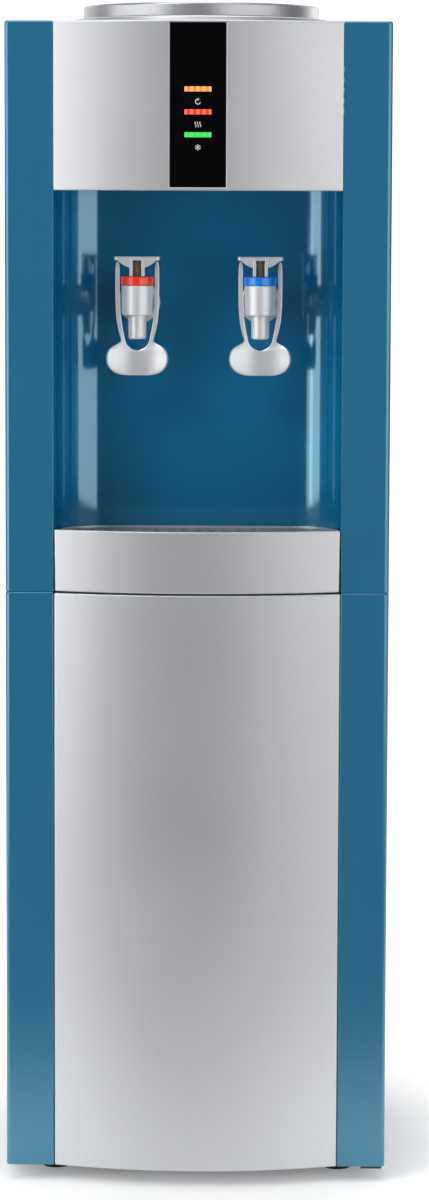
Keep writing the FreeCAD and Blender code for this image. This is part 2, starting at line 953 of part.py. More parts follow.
def catch_block(y, extra):
    x = -side_x + catch_inset
    half = catch_width / 2 + extra
    length = catch_length / 2 + extra
    return block((x - half, x + half), y, (catch_height - length, catch_height + length))


def make_door_panel():
    half = niche_half_width - panel_gap
    z = (door_bottom, door_top)
    back = door_rear - wall - touch_gap
    body = bulged(half, back, 0, z)
    body = rounded(body, edge_radius, lambda edge: on_bow_rim(edge, door_bottom, door_top))
    inner = bulged(half - wall, back + wall, wall, (door_bottom + wall, door_top - wall))
    return body.cut(inner)


def make_door_hinge_pins():
    lower_top = door_bottom + hinge_pin_depth - hidden_gap
    lower = rod(vec(hinge_x, hinge_y, base_z - hinge_tab_thickness), vec(hinge_x, hinge_y, lower_top), hinge_pin_radius)
    shoulder = rod(vec(hinge_x, hinge_y, base_z), vec(hinge_x, hinge_y, door_bottom - touch_gap), hinge_head_radius)
    upper_low = door_top - hinge_pin_depth + hidden_gap
    head_low = deck_z + wall
    upper = rod(vec(hinge_x, hinge_y, upper_low), vec(hinge_x, hinge_y, head_low), hinge_pin_radius)
    head = rod(vec(hinge_x, hinge_y, head_low), vec(hinge_x, hinge_y, head_low + hinge_head_height),
               hinge_head_radius - edge_radius)
    return group([join(lower, shoulder), join(upper, head)])


def make_door_strike():
    return catch_block((door_rear - strike_thickness, door_rear), 0)


def make_door_magnet():
    return catch_block((body_front, body_front + magnet_depth), 0)


def make_cabinet_liner():
    z = (base_top, deck_z - touch_gap)
    rear = body_front + liner_depth
    outer = block((-liner_half_width, liner_half_width), (body_front, rear), z)
    half = liner_half_width - liner_wall
    room_z = (z[0] + liner_wall, z[1] - liner_wall)
    room = block((-half, half), (body_front, rear - liner_wall), room_z)
    flange = block((-inner_x, inner_x), (body_front, body_front + wall), z)
    holder = catch_block((body_front, body_front + magnet_depth + liner_wall), liner_wall)
    pocket = catch_block((body_front, body_front + magnet_depth + touch_gap), touch_gap)
    return join(outer, flange, holder).cut([room, pocket])


# Taps

def make_tap_body(x):
    wall_y = niche_rear
    body = taper(vec(x, tap_y, tap_body_low), vec(x, tap_y, tap_body_top), tap_body_foot_radius, tap_body_radius)
    spout = rod(vec(x, tap_y, tap_spout_low), vec(x, tap_y, tap_body_low), tap_spout_radius)
    barrel = rod(vec(x, tap_y, tap_z), vec(x, wall_y, tap_z), tap_barrel_radius)
    inner = tap_y - tap_body_foot_radius
    barrel = barrel.cut(block((x - tap_flange_radius, x + tap_flange_radius), (inner, tap_y),
                              (tap_spout_low, tap_body_top)))
    flange = rod(vec(x, wall_y - tap_flange_thickness, tap_z), vec(x, wall_y, tap_z), tap_flange_radius)
    flange = rounded(flange, edge_radius, lambda edge: edge.CenterOfMass.y < wall_y - touch_gap
                     and edge.Curve.TypeId == "Part::GeomCircle")
    shank_end = wall_y + tap_shank_length
    shank = rod(vec(x, wall_y, tap_z), vec(x, shank_end, tap_z), tap_shank_radius)
    over = block((x - tap_flange_radius, x + tap_flange_radius), (tap_y, tap_y + tap_barrel_radius),
                 (tap_body_top, tap_body_top + tap_flange_radius))
    shape = join(body, spout, barrel.cut(over), flange, shank)
    chamber = rod(vec(x, tap_y, chamber_low), vec(x, tap_y, tap_body_top), tap_chamber_radius)
    outlet = rod(vec(x, tap_y, tap_spout_low), vec(x, tap_y, chamber_low), tap_spout_bore)
    inlet = rod(vec(x, tap_y, tap_z), vec(x, shank_end, tap_z), tap_inlet_bore)
    inlet = inlet.cut(rod(vec(x, tap_y, tap_spout_low), vec(x, tap_y, tap_body_top), tap_spout_bore))
    return shape.cut([chamber, outlet, inlet])


def make_tap_cap(x):
    disc = rod(vec(x, tap_y, tap_body_top), vec(x, tap_y, cap_top), cap_radius)
    disc = rounded(disc, edge_radius, lambda edge: edge.CenterOfMass.z > cap_top - touch_gap
                   and edge.Curve.TypeId == "Part::GeomCircle")
    outer = tap_chamber_radius - cap_skirt_gap
    low = tap_body_top - cap_skirt_length
    skirt = rod(vec(x, tap_y, low), vec(x, tap_y, tap_body_top), outer)
    hollow = rod(vec(x, tap_y, low), vec(x, tap_y, tap_body_top), outer - cap_skirt_wall)
    hole = rod(vec(x, tap_y, low), vec(x, tap_y, cap_top), stem_radius + stem_fit)
    return join(disc, skirt.cut(hollow)).cut(hole)


def make_tap_stem(x):
    stem = rod(vec(x, tap_y, plug_top), vec(x, tap_y, pin_z + stem_rise_over_pin), stem_radius)
    hole = rod(vec(x - pin_half_length, tap_y, pin_z), vec(x + pin_half_length, tap_y, pin_z), pin_radius + pin_press)
    return stem.cut(hole)


def make_tap_plug(x):
    body = rod(vec(x, tap_y, chamber_low), vec(x, tap_y, plug_top), plug_radius)
    return rounded(body, edge_radius, lambda edge: edge.Curve.TypeId == "Part::GeomCircle")


def make_tap_pin(x):
    return rod(vec(x - pin_half_length, tap_y, pin_z), vec(x + pin_half_length, tap_y, pin_z), pin_radius)


def make_tap_spring(x):
    low = plug_top + spring_wire + spring_end_gap
    high = tap_body_top - spring_wire - spring_end_gap
    pitch = (high - low) / spring_turns
    edges = helix_edges(x, tap_y, low, spring_radius, pitch, spring_turns, 0)
    shape = tube(Part.Wire(edges), spring_wire)
    print("tap spring: least gap between turns", round(pitch - 2 * spring_wire, 2))
    return shape


def make_tap_lever(x):
    def across(half, z):
        return (x + half, z)

    bend = paddle_low + arm_bend_height
    shoulder = paddle_low + paddle_shoulder_height
    wide = paddle_low + paddle_wide_height
    arm_mid = (lever_arm_outer + paddle_shoulder_half) / 2
    round_half = paddle_flat_half + (paddle_half_width - paddle_flat_half) * math.sqrt(0.5)
    round_low = wide - paddle_wide_height * math.sqrt(0.5)
    round_high = wide + (shoulder - wide) * math.sqrt(0.5)
    bulge_half = paddle_shoulder_half + (paddle_half_width - paddle_shoulder_half) * math.sqrt(0.5)
    outer = outline(
        front_view(tap_y - lever_thickness / 2),
        across(lever_arm_outer, lever_top),
        across(lever_arm_outer, bend),
        (across(arm_mid + arm_curve_rise, (bend + shoulder) / 2), across(paddle_shoulder_half, shoulder)),
        (across(bulge_half, round_high), across(paddle_half_width, wide)),
        (across(round_half, round_low), across(paddle_flat_half, paddle_low)),
        across(-paddle_flat_half, paddle_low),
        (across(-round_half, round_low), across(-paddle_half_width, wide)),
        (across(-bulge_half, round_high), across(-paddle_shoulder_half, shoulder)),
        (across(-arm_mid - arm_curve_rise, (bend + shoulder) / 2), across(-lever_arm_outer, bend)),
        across(-lever_arm_outer, lever_top),
    ).extrude(vec(0, lever_thickness, 0))
    side = paddle_low + loop_side_height
    loop_mid = (lever_arm_inner + loop_half) / 2
    hole = outline(
        front_view(tap_y - lever_thickness),
        across(lever_arm_inner, lever_top - lever_bar_height),
        across(lever_arm_inner, bend),
        (across(loop_mid + arm_curve_rise, (bend + side) / 2), across(loop_half, side)),
        (across(0, paddle_low + loop_bottom_height), across(-loop_half, side)),
        (across(-loop_mid - arm_curve_rise, (bend + side) / 2), across(-lever_arm_inner, bend)),
        across(-lever_arm_inner, lever_top - lever_bar_height),
    ).extrude(vec(0, 2 * lever_thickness, 0))
    frame = outer.cut(hole)
    bar_low = lever_top - lever_bar_height
    front = tap_y - lever_front_reach
    bar = block((x - lever_bar_half, x + lever_bar_half), (front, tap_y + lever_back_reach), (bar_low, lever_top))
    bar = rounded(bar, lever_edge_radius, lambda edge: edge.CenterOfMass.z > lever_top - touch_gap or is_upright(edge))
    web = outline(
        front_view(front),
        across(-lever_web_half, bar_low),
        (across(0, bar_low - lever_web_drop), across(lever_web_half, bar_low)),
    ).extrude(vec(0, lever_web_thickness, 0))
    inner = post_gap / 2
    slot = block((x - inner, x + inner), (front, front + lever_web_thickness), (bar_low - lever_web_drop, bar_low))
    posts = []
    foot = cap_top + post_foot_gap
    for low, high in ((-inner - post_thickness, -inner), (inner, inner + post_thickness)):
        posts.append(block((x + low, x + high), (tap_y - post_front_reach, tap_y + lever_back_reach), (foot, bar_low)))
    shape = join(frame, bar, web.cut(slot), *posts)
    return shape.cut(rod(vec(x - lever_bar_half, tap_y, pin_z), vec(x + lever_bar_half, tap_y, pin_z), pin_radius + pin_fit))


def make_tap_lock_nuts():
    nuts = []
    radius = nut_flats / math.sqrt(3)
    corners = [(radius * math.cos(math.pi * k / 3), radius * math.sin(math.pi * k / 3)) for k in range(6)]
    low = niche_back + touch_gap
    for x in (-tap_half_spacing, tap_half_spacing):
        ring = [(x + u, tap_z + v) for u, v in corners]
        face = outline(front_view(low), ring[0], *ring[1:])
        bore = rod(vec(x, low, tap_z), vec(x, low + nut_height, tap_z), tap_shank_radius + touch_gap)
        nuts.append(face.extrude(vec(0, nut_height, 0)).cut(bore))
    return group(nuts)


# Plates and tanks

def cold_hose_points():
    outlet_y = niche_rear + tap_shank_length + touch_gap
    straight = outlet_y + hose_bend + hose_radius
    return [
        vec(cold_outlet_x, cold_outlet_y, tank_low + cold_tank_wall + hose_reach),
        vec(cold_outlet_x, cold_outlet_y, tap_z - hose_radius),
        vec(tap_half_spacing, straight, tap_z),
        vec(tap_half_spacing, outlet_y, tap_z),
    ]


def hot_hose_points():
    outlet_y = niche_rear + tap_shank_length + touch_gap
    straight = outlet_y + hose_bend + hose_radius
    return [
        vec(-hot_outlet_x, hot_outlet_y, hot_tank_top - hot_tank_wall - hose_reach),
        vec(-hot_outlet_x, hot_outlet_y, tap_z - 3 * hose_radius),
        vec(-tap_half_spacing, straight, tap_z),
        vec(-tap_half_spacing, outlet_y, tap_z),
    ]


def feed_hose_points():
    inlet_z = hot_tank_low + feed_inlet_rise
    return [
        vec(feed_outlet_x, hot_tank_y, tank_low + cold_tank_wall + hose_reach),
        vec(feed_outlet_x, hot_tank_y, tank_low - feed_drop),
        vec(feed_run_x, hot_tank_y, tank_low - 2 * feed_drop),
        vec(feed_run_x, hot_tank_y, inlet_z),
        vec(hot_tank_radius - hot_tank_wall - hose_reach, hot_tank_y, inlet_z),
    ]


def drain_hose_points():
    return [
        vec(0, hot_tank_y, hot_tank_low + hot_tank_wall + hose_reach),
        vec(0, hot_tank_y, drain_height),
        vec(0, rear_inner - drain_spout_in, drain_height),
    ]


def hose_routes():
    return [cold_hose_points(), hot_hose_points(), feed_hose_points(), drain_hose_points()]


def make_water_hoses():
    hoses = []
    for points in hose_routes():
        path = bent_path(points, hose_bend)
        hose = tube(path, hose_radius).cut(tube(path, hose_bore))
        expected = math.pi * (hose_radius ** 2 - hose_bore ** 2) * path.Length
        print("hose: volume over section times length", round(hose.Volume / expected, 3))
        hoses.append(hose)
    return group(hoses)


def hose_holes(extra):
    return [tube(bent_path(points, hose_bend), hose_radius + extra) for points in hose_routes()]


def coil_end(top):
    # Where the evaporator's vertical tails stand.
    reach = coil_radius
    step = coil_bend if top else -coil_bend
    return (-reach, tank_y - step)


def tail_hole(low, high):
    x, y = coil_end(False)
    return rod(vec(x, y, low), vec(x, y, high), coil_tube_radius + pipe_hole_gap)


def make_tank_shelf():
    z = (shelf_z, shelf_z + plate)
    y = (-shelf_front, flange_inner)
    sheet_part = block((-inner_x, inner_x), y, z)
    lip = block((inner_x - plate, inner_x), y, (shelf_z - shelf_flange, z[1]))
    holes = hose_holes(hose_hole_gap)[:3] + [tail_hole(z[0], z[1])]
    return join(sheet_part, *both_sides(lip)).cut(holes)


def make_deck_plate():
    z = (deck_z, deck_z + plate)
    y = (niche_back + hidden_gap, flange_inner)
    sheet_part = block((-inner_x, inner_x), y, z)
    lip = block((inner_x - plate, inner_x), y, (deck_z, deck_z + shelf_flange))
    return join(sheet_part, *both_sides(lip)).cut([hose_holes(hose_hole_gap)[3], tail_hole(z[0], z[1])])


def make_cold_tank():
    outer = rod(vec(0, tank_y, tank_low), vec(0, tank_y, tank_top), cold_tank_radius)
    inner_low = vec(0, tank_y, tank_low + cold_tank_wall)
    inner_high = vec(0, tank_y, tank_top - cold_tank_wall)
    inner = rod(inner_low, inner_high, cold_tank_radius - cold_tank_wall)
    mouth = rod(vec(0, 0, inner_high.z), vec(0, 0, tank_top), outlet_radius + running_gap * 2)
    holes = hose_holes(touch_gap)
    return outer.cut([inner, mouth, holes[0], holes[2]])


def make_cold_tank_insulation():
    low = shelf_z + plate
    outer = rod(vec(0, tank_y, low), vec(0, tank_y, tank_top), insulation_radius)
    bore = rod(vec(0, tank_y, tank_low), vec(0, tank_y, tank_top), insulation_bore)
    holes = hose_holes(hose_hole_gap)
    return outer.cut([bore, holes[0], holes[2], tail_hole(low, tank_low)])


def make_evaporator_coil():
    low = tank_low + coil_rise
    start_angle = math.pi
    edges = helix_edges(0, tank_y, low, coil_radius, coil_pitch, coil_turns, start_angle)
    high = low + coil_pitch * coil_turns
    bend = coil_bend
    half = bend * math.sqrt(0.5)
    x = -coil_radius
    tail_top = vec(x, tank_y + bend, low - bend)
    tail_turn = vec(x, tank_y + bend - bend + half, low - bend + half)
    head_low = vec(x, tank_y - bend, high + bend)
    head_turn = vec(x, tank_y - half, high + bend - half)
    tail = [
        Part.makeLine(vec(x, tank_y + bend, low - bend - coil_tail), tail_top),
        Part.Arc(tail_top, tail_turn, vec(x, tank_y, low)).toShape(),
    ]
    head = [
        Part.Arc(vec(x, tank_y, high), head_turn, head_low).toShape(),
        Part.makeLine(head_low, vec(x, tank_y - bend, high + bend + coil_head)),
    ]
    path = Part.Wire(tail + edges + head)
    print("evaporator coil: least gap between turns", round(coil_pitch - 2 * coil_tube_radius, 2))
    shape = tube(path, coil_tube_radius)
    expected = math.pi * coil_tube_radius ** 2 * path.Length
    print("evaporator coil: volume over section times length", round(shape.Volume / expected, 3))
    return shape


def make_hot_tank():
    outer = rod(vec(0, hot_tank_y, hot_tank_low), vec(0, hot_tank_y, hot_tank_top), hot_tank_radius)
    inner_low = vec(0, hot_tank_y, hot_tank_low + hot_tank_wall)
    inner_high = vec(0, hot_tank_y, hot_tank_top - hot_tank_wall)
    inner = rod(inner_low, inner_high, hot_tank_radius - hot_tank_wall)
    return outer.cut([inner] + hose_holes(touch_gap)[1:])


def make_hot_tank_jacket():
    low = deck_z + plate
    high = hot_tank_top + jacket_wall
    outer = rod(vec(0, hot_tank_y, low), vec(0, hot_tank_y, high), jacket_bore + jacket_wall)
    inner = rod(vec(0, hot_tank_y, hot_tank_low), vec(0, hot_tank_y, hot_tank_top + hidden_gap), jacket_bore)
    tools = [inner] + hose_holes(hose_hole_gap)[1:]
    for z in thermostat_levels():
        end = vec(-jacket_bore - 2 * jacket_wall, hot_tank_y, z)
        tools.append(rod(vec(0, hot_tank_y, z), end, thermostat_radius + hose_hole_gap))
    return outer.cut(tools)


def thermostat_levels():
    first = hot_tank_low + thermostat_rise
    return [first, first + thermostat_pitch]


def make_hot_tank_heater():
    low = hot_tank_low + heater_rise
    inside = hot_tank_radius + touch_gap
    band = rod(vec(0, hot_tank_y, low), vec(0, hot_tank_y, low + heater_height), inside + heater_thickness)
    band = band.cut(rod(vec(0, hot_tank_y, low), vec(0, hot_tank_y, low + heater_height), inside))
    pieces = [band]
    tank = rod(vec(0, hot_tank_y, hot_tank_low), vec(0, hot_tank_y, hot_tank_top), inside)
    for z in thermostat_levels():
        disc = rod(vec(0, hot_tank_y, z), vec(-inside - thermostat_depth, hot_tank_y, z), thermostat_radius)
        pieces.append(disc.cut(tank))
    return group(pieces)


def make_drain_spout():
    start = vec(0, rear_inner - drain_spout_in, drain_height)
    end = vec(0, rear_y + drain_spout_out, drain_height)
    neck = rod(start, end, drain_spout_radius)
    flange_end = vec(0, rear_y + drain_cap_end, drain_height)
    flange = rod(vec(0, rear_y, drain_height), flange_end, drain_flange_radius)
    return join(neck, flange).cut(rod(start, end, drain_spout_bore))


def make_drain_cap():
    start = vec(0, rear_y + drain_spout_out - drain_cap_length + hidden_gap, drain_height)
    seat = vec(0, rear_y + drain_spout_out + hidden_gap, drain_height)
    end = vec(0, seat.y + drain_cap_end, drain_height)
    cup = rod(start, end, drain_cap_radius)
    cup = rounded(cup, edge_radius, lambda edge: edge.CenterOfMass.y > seat.y
                  and edge.Curve.TypeId == "Part::GeomCircle")
    return cup.cut(rod(start, seat, drain_spout_radius + running_gap * 3))


# Refrigeration

def stadium(half_length, half_width, z):
    flat = half_length - half_width
    face = outline(
        plan(z[0]),
        (-flat, compressor_y - half_width),
        (flat, compressor_y - half_width),
        ((half_length, compressor_y), (flat, compressor_y + half_width)),
        (-flat, compressor_y + half_width),
        ((-half_length, compressor_y), (-flat, compressor_y - half_width)),
    )
    return face.extrude(vec(0, 0, z[1] - z[0]))


def make_compressor():
    z = (compressor_low, compressor_low + compressor_height)
    can = stadium(compressor_half_length, compressor_half_width, z)
    can = rounded(can, compressor_top_round, lambda edge: edge.CenterOfMass.z > z[1] - touch_gap)
    seam_low = z[0] + compressor_seam_level
    rim = stadium(compressor_half_length + compressor_seam_reach, compressor_half_width + compressor_seam_reach,
                  (seam_low, seam_low + compressor_seam_height))
    foot_z = (z[0] - mount_plate_thickness, z[0])
    foot = block((-mount_plate_half_length, mount_plate_half_length),
                 (compressor_y - mount_plate_half_width, compressor_y + mount_plate_half_width), foot_z)
    room_z = (z[0] + compressor_wall, z[1] - compressor_top_round)
    room = stadium(compressor_half_length - compressor_wall, compressor_half_width - compressor_wall, room_z)
    return join(can, rim, foot).cut(room)


def make_compressor_mounts():
    mounts = []
    for x in (-mount_x, mount_x):
        for y in (compressor_y - mount_y, compressor_y + mount_y):
            mounts.append(rod(vec(x, y, base_top), vec(x, y, base_top + mount_height), mount_radius))
    return group(mounts)


def run_level(run):
    return condenser_low + run * condenser_pitch


def make_condenser_coil():
    edges = []
    reach = condenser_pitch / 2
    for run in range(condenser_runs):
        z = run_level(run)
        heading = 1 if run % 2 else -1
        start = vec(-heading * condenser_half_width, condenser_mid, z)
        end = vec(heading * condenser_half_width, condenser_mid, z)
        edges.append(Part.makeLine(start, end))
        if run < condenser_runs - 1:
            crest = vec(end.x + heading * reach, condenser_mid, z + reach)
            above = vec(end.x, condenser_mid, z + condenser_pitch)
            edges.append(Part.Arc(end, crest, above).toShape())
    path = Part.Wire(edges)
    shape = tube(path, condenser_tube_radius)
    expected = math.pi * condenser_tube_radius ** 2 * path.Length
    print("condenser coil: volume over section times length", round(shape.Volume / expected, 3))
    return shape


def make_condenser_wires():
    wires = []
    low = run_level(0) - condenser_wire_over
    high = run_level(condenser_runs - 1) + condenser_wire_over
    offset = condenser_tube_radius + condenser_wire_radius + touch_gap
    for index in range(condenser_wire_count):
        x = (index - (condenser_wire_count - 1) / 2) * condenser_wire_pitch
        for y in (condenser_mid - offset, condenser_mid + offset):
            wires.append(rod(vec(x, y, low), vec(x, y, high), condenser_wire_radius))
    return group(wires)


def liquid_line_crossing():
    return (-drier_x, run_level(condenser_runs - 1))


def make_refrigerant_pipes():
    stub = compressor_low + compressor_height
    discharge = [
        vec(discharge_x, compressor_y, stub + touch_gap),
        vec(discharge_x, compressor_y, discharge_level),
        vec(condenser_half_width + condenser_pitch / 2, condenser_mid - pipe_bend, discharge_level),
        vec(condenser_half_width + condenser_pitch / 2, condenser_mid, discharge_level + 2 * pipe_bend),
        vec(condenser_half_width + condenser_pitch / 2, condenser_mid, run_level(0)),
        vec(condenser_half_width + touch_gap, condenser_mid, run_level(0)),
    ]
    tail_x, tail_y = coil_end(False)
    tail_end = tank_low + coil_rise - coil_bend - coil_tail - touch_gap
    suction = [
        vec(tail_x, tail_y, tail_end),
        vec(tail_x, tail_y, suction_level),
        vec(-suction_x, compressor_y, suction_level - 2 * pipe_bend),
        vec(-suction_x, compressor_y, stub + touch_gap),
    ]
    line_x, line_z = liquid_line_crossing()
    drier_top = line_z - drier_drop
    drier_end = drier_top - drier_length
    liquid = [
        vec(-condenser_half_width - touch_gap, condenser_mid, line_z),
        vec(line_x, condenser_mid, line_z),
        vec(line_x, drier_y, line_z),
        vec(line_x, drier_y, drier_top),
    ]
    head_x, head_y = coil_end(True)
    head_z = tank_low + coil_rise + coil_pitch * coil_turns + coil_bend + coil_head + touch_gap
    loop_low = drier_end - pipe_bend
    loop_high = head_z + capillary_rise
    capillary = [
        vec(line_x, drier_y, drier_end),
        vec(line_x, drier_y, loop_low),
        vec(line_x, drier_y - capillary_gap, loop_low),
        vec(line_x, drier_y - capillary_gap, loop_high),
        vec(head_x, head_y, loop_high),
        vec(head_x, head_y, head_z),
    ]
    body_low = vec(line_x, drier_y, drier_end + drier_neck)
    body_high = vec(line_x, drier_y, drier_top - drier_neck)
    drier = join(
        rod(body_low, body_high, drier_radius),
        taper(vec(line_x, drier_y, drier_end), body_low, pipe_radius, drier_radius),
        taper(body_high, vec(line_x, drier_y, drier_top), drier_radius, pipe_radius),
    )
    pipes = [tube(bent_path(points, pipe_bend), pipe_radius) for points in (discharge, suction, liquid)]
    return group(pipes + [tube(bent_path(capillary, pipe_bend), capillary_radius), drier])


# Rear switches and gland

def make_switch_housings():
    housings = []
    sweep = math.hypot(rocker_front, rocker_half_height) + rocker_gap
    hold = rocker_half_width + rocker_gap
    for x, z in switch_centres():
        outer_x = switch_half_width + switch_bezel
        outer_z = switch_half_height + switch_bezel
        bezel = block((x - outer_x, x + outer_x), (rear_y, rear_y + switch_bezel_thickness), (z - outer_z, z + outer_z))
        bezel = rounded(bezel, edge_radius, lambda edge: edge.CenterOfMass.y > rear_y + touch_gap)
        body = block((x - switch_half_width, x + switch_half_width), (rear_y - switch_depth, rear_y),
                     (z - switch_half_height, z + switch_half_height))
        room = rod(vec(x - hold, rocker_y, z), vec(x + hold, rocker_y, z), sweep)
        pins = hold + rocker_pin_length
        pivot = rod(vec(x - pins, rocker_y, z), vec(x + pins, rocker_y, z), rocker_pin_radius + hinge_fit)
        housings.append(join(bezel, body).cut([room, pivot]))
    return group(housings)


def make_rocker(x):
    z = switch_height
    profile = outline(
        side_view(x - rocker_half_width),
        (rocker_y - rocker_back, z - rocker_root_half),
        (rocker_y - rocker_back, z + rocker_root_half),
        (rocker_y + rocker_front, z + rocker_half_height),
        (rocker_y + rocker_dip, z),
        (rocker_y + rocker_front, z - rocker_half_height),
    )
    key = profile.extrude(vec(2 * rocker_half_width, 0, 0))
    pins = rocker_half_width + rocker_pin_length
    pivot = rod(vec(x - pins, rocker_y, z), vec(x + pins, rocker_y, z), rocker_pin_radius)
    return join(key, pivot).rotated(vec(x, rocker_y, z), vec(1, 0, 0), rocker_tilt)


def make_mains_gland():
    inner = vec(gland_x, rear_y + gland_flange_thickness - gland_length, gland_height)
    face = vec(gland_x, rear_y, gland_height)
    outer = vec(gland_x, rear_y + gland_flange_thickness, gland_height)
    flange = taper(face, outer, gland_flange_radius, gland_body_radius)
    return join(flange, rod(inner, face, gland_body_radius)).cut(rod(inner, outer, gland_bore))


PARTS = {
    "base_plate": make_base_plate,
    "rubber_feet": make_rubber_feet,
    "left_side_panel": lambda: drill_screws(mirrored(make_right_side_panel())),
    "right_side_panel": lambda: drill_screws(make_right_side_panel()),
    "rear_panel": make_rear_panel,
    "panel_screws": make_panel_screws,
    "front_frame": make_front_frame,
    "dispenser_niche": make_dispenser_niche,
    "head_panel": make_head_panel,
    "control_strip": make_control_strip,
    "power_lens": lambda: make_lens(0),
    "hot_lens": lambda: make_lens(1),
    "cold_lens": lambda: make_lens(2),
    "indicator_board": make_indicator_board,
    "top_cover": make_top_cover,
    "bottle_collar": make_bottle_collar,
    "bottle_probe": make_bottle_probe,
    "drip_tray": make_drip_tray,
    "drip_grille": make_drip_grille,
    "door_frame": make_door_frame,
    "door_panel": make_door_panel,
    "door_hinge_pins": make_door_hinge_pins,
    "door_magnet": make_door_magnet,
    "door_strike": make_door_strike,
    "cabinet_liner": make_cabinet_liner,
    "tap_lock_nuts": make_tap_lock_nuts,
    "tank_shelf": make_tank_shelf,
    "deck_plate": make_deck_plate,
    "cold_tank": make_cold_tank,
    "cold_tank_insulation": make_cold_tank_insulation,
    "evaporator_coil": make_evaporator_coil,
    "hot_tank": make_hot_tank,
    "hot_tank_jacket": make_hot_tank_jacket,
    "hot_tank_heater": make_hot_tank_heater,
    "water_hoses": make_water_hoses,
    "drain_spout": make_drain_spout,
    "drain_cap": make_drain_cap,
    "compressor": make_compressor,
    "compressor_mounts": make_compressor_mounts,
    "condenser_coil": make_condenser_coil,
    "condenser_wires": make_condenser_wires,
    "refrigerant_pipes": make_refrigerant_pipes,
    "switch_housings": make_switch_housings,
    "heat_rocker": lambda: make_rocker(-switch_half_spacing),
    "cool_rocker": lambda: make_rocker(switch_half_spacing),
    "mains_gland": make_mains_gland,
}

TAP_PIECES = {
    "tap_body": make_tap_body,
    "tap_cap": make_tap_cap,
    "tap_stem": make_tap_stem,
    "tap_plug": make_tap_plug,
    "tap_spring": make_tap_spring,
    "tap_pin": make_tap_pin,
    "tap_lever": make_tap_lever,
}

os.makedirs("parts", exist_ok=True)
for name, make in PARTS.items():
    make().exportStep("parts/" + name + ".step")
for side, x in (("hot_", -tap_half_spacing), ("cold_", tap_half_spacing)):
    for name, make in TAP_PIECES.items():
        make(x).exportStep("parts/" + side + name + ".step")
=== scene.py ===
import json
import math
import bmesh
import bpy
from mathutils import Matrix, Vector


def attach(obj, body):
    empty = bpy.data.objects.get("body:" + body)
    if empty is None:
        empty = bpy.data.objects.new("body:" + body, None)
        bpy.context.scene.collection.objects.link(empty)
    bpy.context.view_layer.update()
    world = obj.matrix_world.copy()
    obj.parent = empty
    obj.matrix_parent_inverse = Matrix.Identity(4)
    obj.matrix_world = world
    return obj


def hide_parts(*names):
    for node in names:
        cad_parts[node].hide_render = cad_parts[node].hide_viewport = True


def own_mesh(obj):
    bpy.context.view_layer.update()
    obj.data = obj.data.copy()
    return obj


# Looks of a floor-standing water cooler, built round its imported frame. Its front faces -Y.
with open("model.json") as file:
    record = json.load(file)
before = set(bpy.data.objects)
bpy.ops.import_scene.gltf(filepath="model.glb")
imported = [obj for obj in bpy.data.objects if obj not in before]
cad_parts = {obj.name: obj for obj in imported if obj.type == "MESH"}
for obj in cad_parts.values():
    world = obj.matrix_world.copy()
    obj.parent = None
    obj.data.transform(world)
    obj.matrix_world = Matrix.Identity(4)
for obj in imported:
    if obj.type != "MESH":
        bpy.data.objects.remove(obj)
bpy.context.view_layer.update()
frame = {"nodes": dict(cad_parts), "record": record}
nodes = frame["nodes"]
node_slot = {entry["node"]: entry["material_slot"] for entry in frame["record"]["subparts"]}
scene = bpy.context.scene
scene.view_settings.view_transform = "Standard"

# The pieces are sized in millimetres, the stage in metres
MM = 0.001

# Bow of the silver fronts, and how far behind it the pieces under a skin end
BOW_RADIUS = 344.66
BOW_CENTRE_Y = 184.66
UNDER_SKIN = 3.3
SILVER_HALF = 115.7
MOULDED_WALL = 3.0

# Case, with the blue stiles beside the niche and the crown on top
CASE_HALF = 155.0
FRONT_Y = -140.0
STILE_BACK = -100.0
STILE_EDGE = 4.0
CROWN = 943.0
CROWN_EDGE = 2.2
DECK = 486.0
COVER_SEAT = 940.0

# Dispensing niche between the stiles
NICHE_HALF = 116.0
NICHE_FRONT = -137.0
NICHE_REAR = -46.0
NICHE_CORNER = 38.0
NICHE_BEND_Y = NICHE_REAR - NICHE_CORNER
STILE_WIDTH = CASE_HALF - NICHE_HALF

# Head panel with its control strip and lamps
HEAD_HALF = 116.05
HEAD_LOW = 808.5
HEAD_TOP = 942.5
STRIP_HALF = 22.3
STRIP_LOW = 811.3
STRIP_TOP = 940.7
STRIP_GAP = 0.2
LAMP_LEVEL = 888.5
LAMP_STEP = 18.0
LAMP_HALF_HEIGHT = 2.1
LAMP_HALF_WIDTH = 10.8
LAMPS = (("power", "lamp_amber"), ("hot", "lamp_red"), ("cold", "lamp_green"))

# Door: its panel and frame are lifted a little to close the seam under the stiles
DOOR_LOW = 13.0
DOOR_TOP = 484.0
PANEL_LIFT = 1.2
FRAME_LIFT = 1.85
DOOR_FRONT = FRONT_Y - 0.5
DOOR_BACK = -118.0
DOOR_RECESS = -121.0
DOOR_EDGE = 1.5
HINGE_X = 147.0
HINGE_Y = -126.0

# Tray, and the collar's band on a low flange of the cover
TRAY_TOP = 536.5
FLANGE_TOP = 949.0

# Taps: axes of their cups and barrels, and foot of the paddles
TAP_X = 50.0
TAP_Y = -94.0
BARREL_Z = 717.0
PADDLE_LOW = 659.2

# Edges that turn by more than this angle, in degrees, are broken
SHARP = 50

# A point far in front, which open sheets are faced towards
VIEWER = (0, -500, 0)

# Sides of the large turned pieces and of the taps
TOP_SIDES = 160
TAP_SIDES = 72


# Workbench: every piece starts from a primitive and is shaped in edit mode

def mm(x, y, z):
    return (x * MM, y * MM, z * MM)


def leave():
    bpy.ops.object.mode_set(mode="OBJECT")


def begin():
    """Back to object mode with nothing selected."""
    if bpy.context.mode != "OBJECT":
        leave()
    bpy.ops.object.select_all(action="DESELECT")


def take(piece):
    """Selects one piece alone and makes it the active one."""
    begin()
    piece.select_set(True)
    bpy.context.view_layer.objects.active = piece


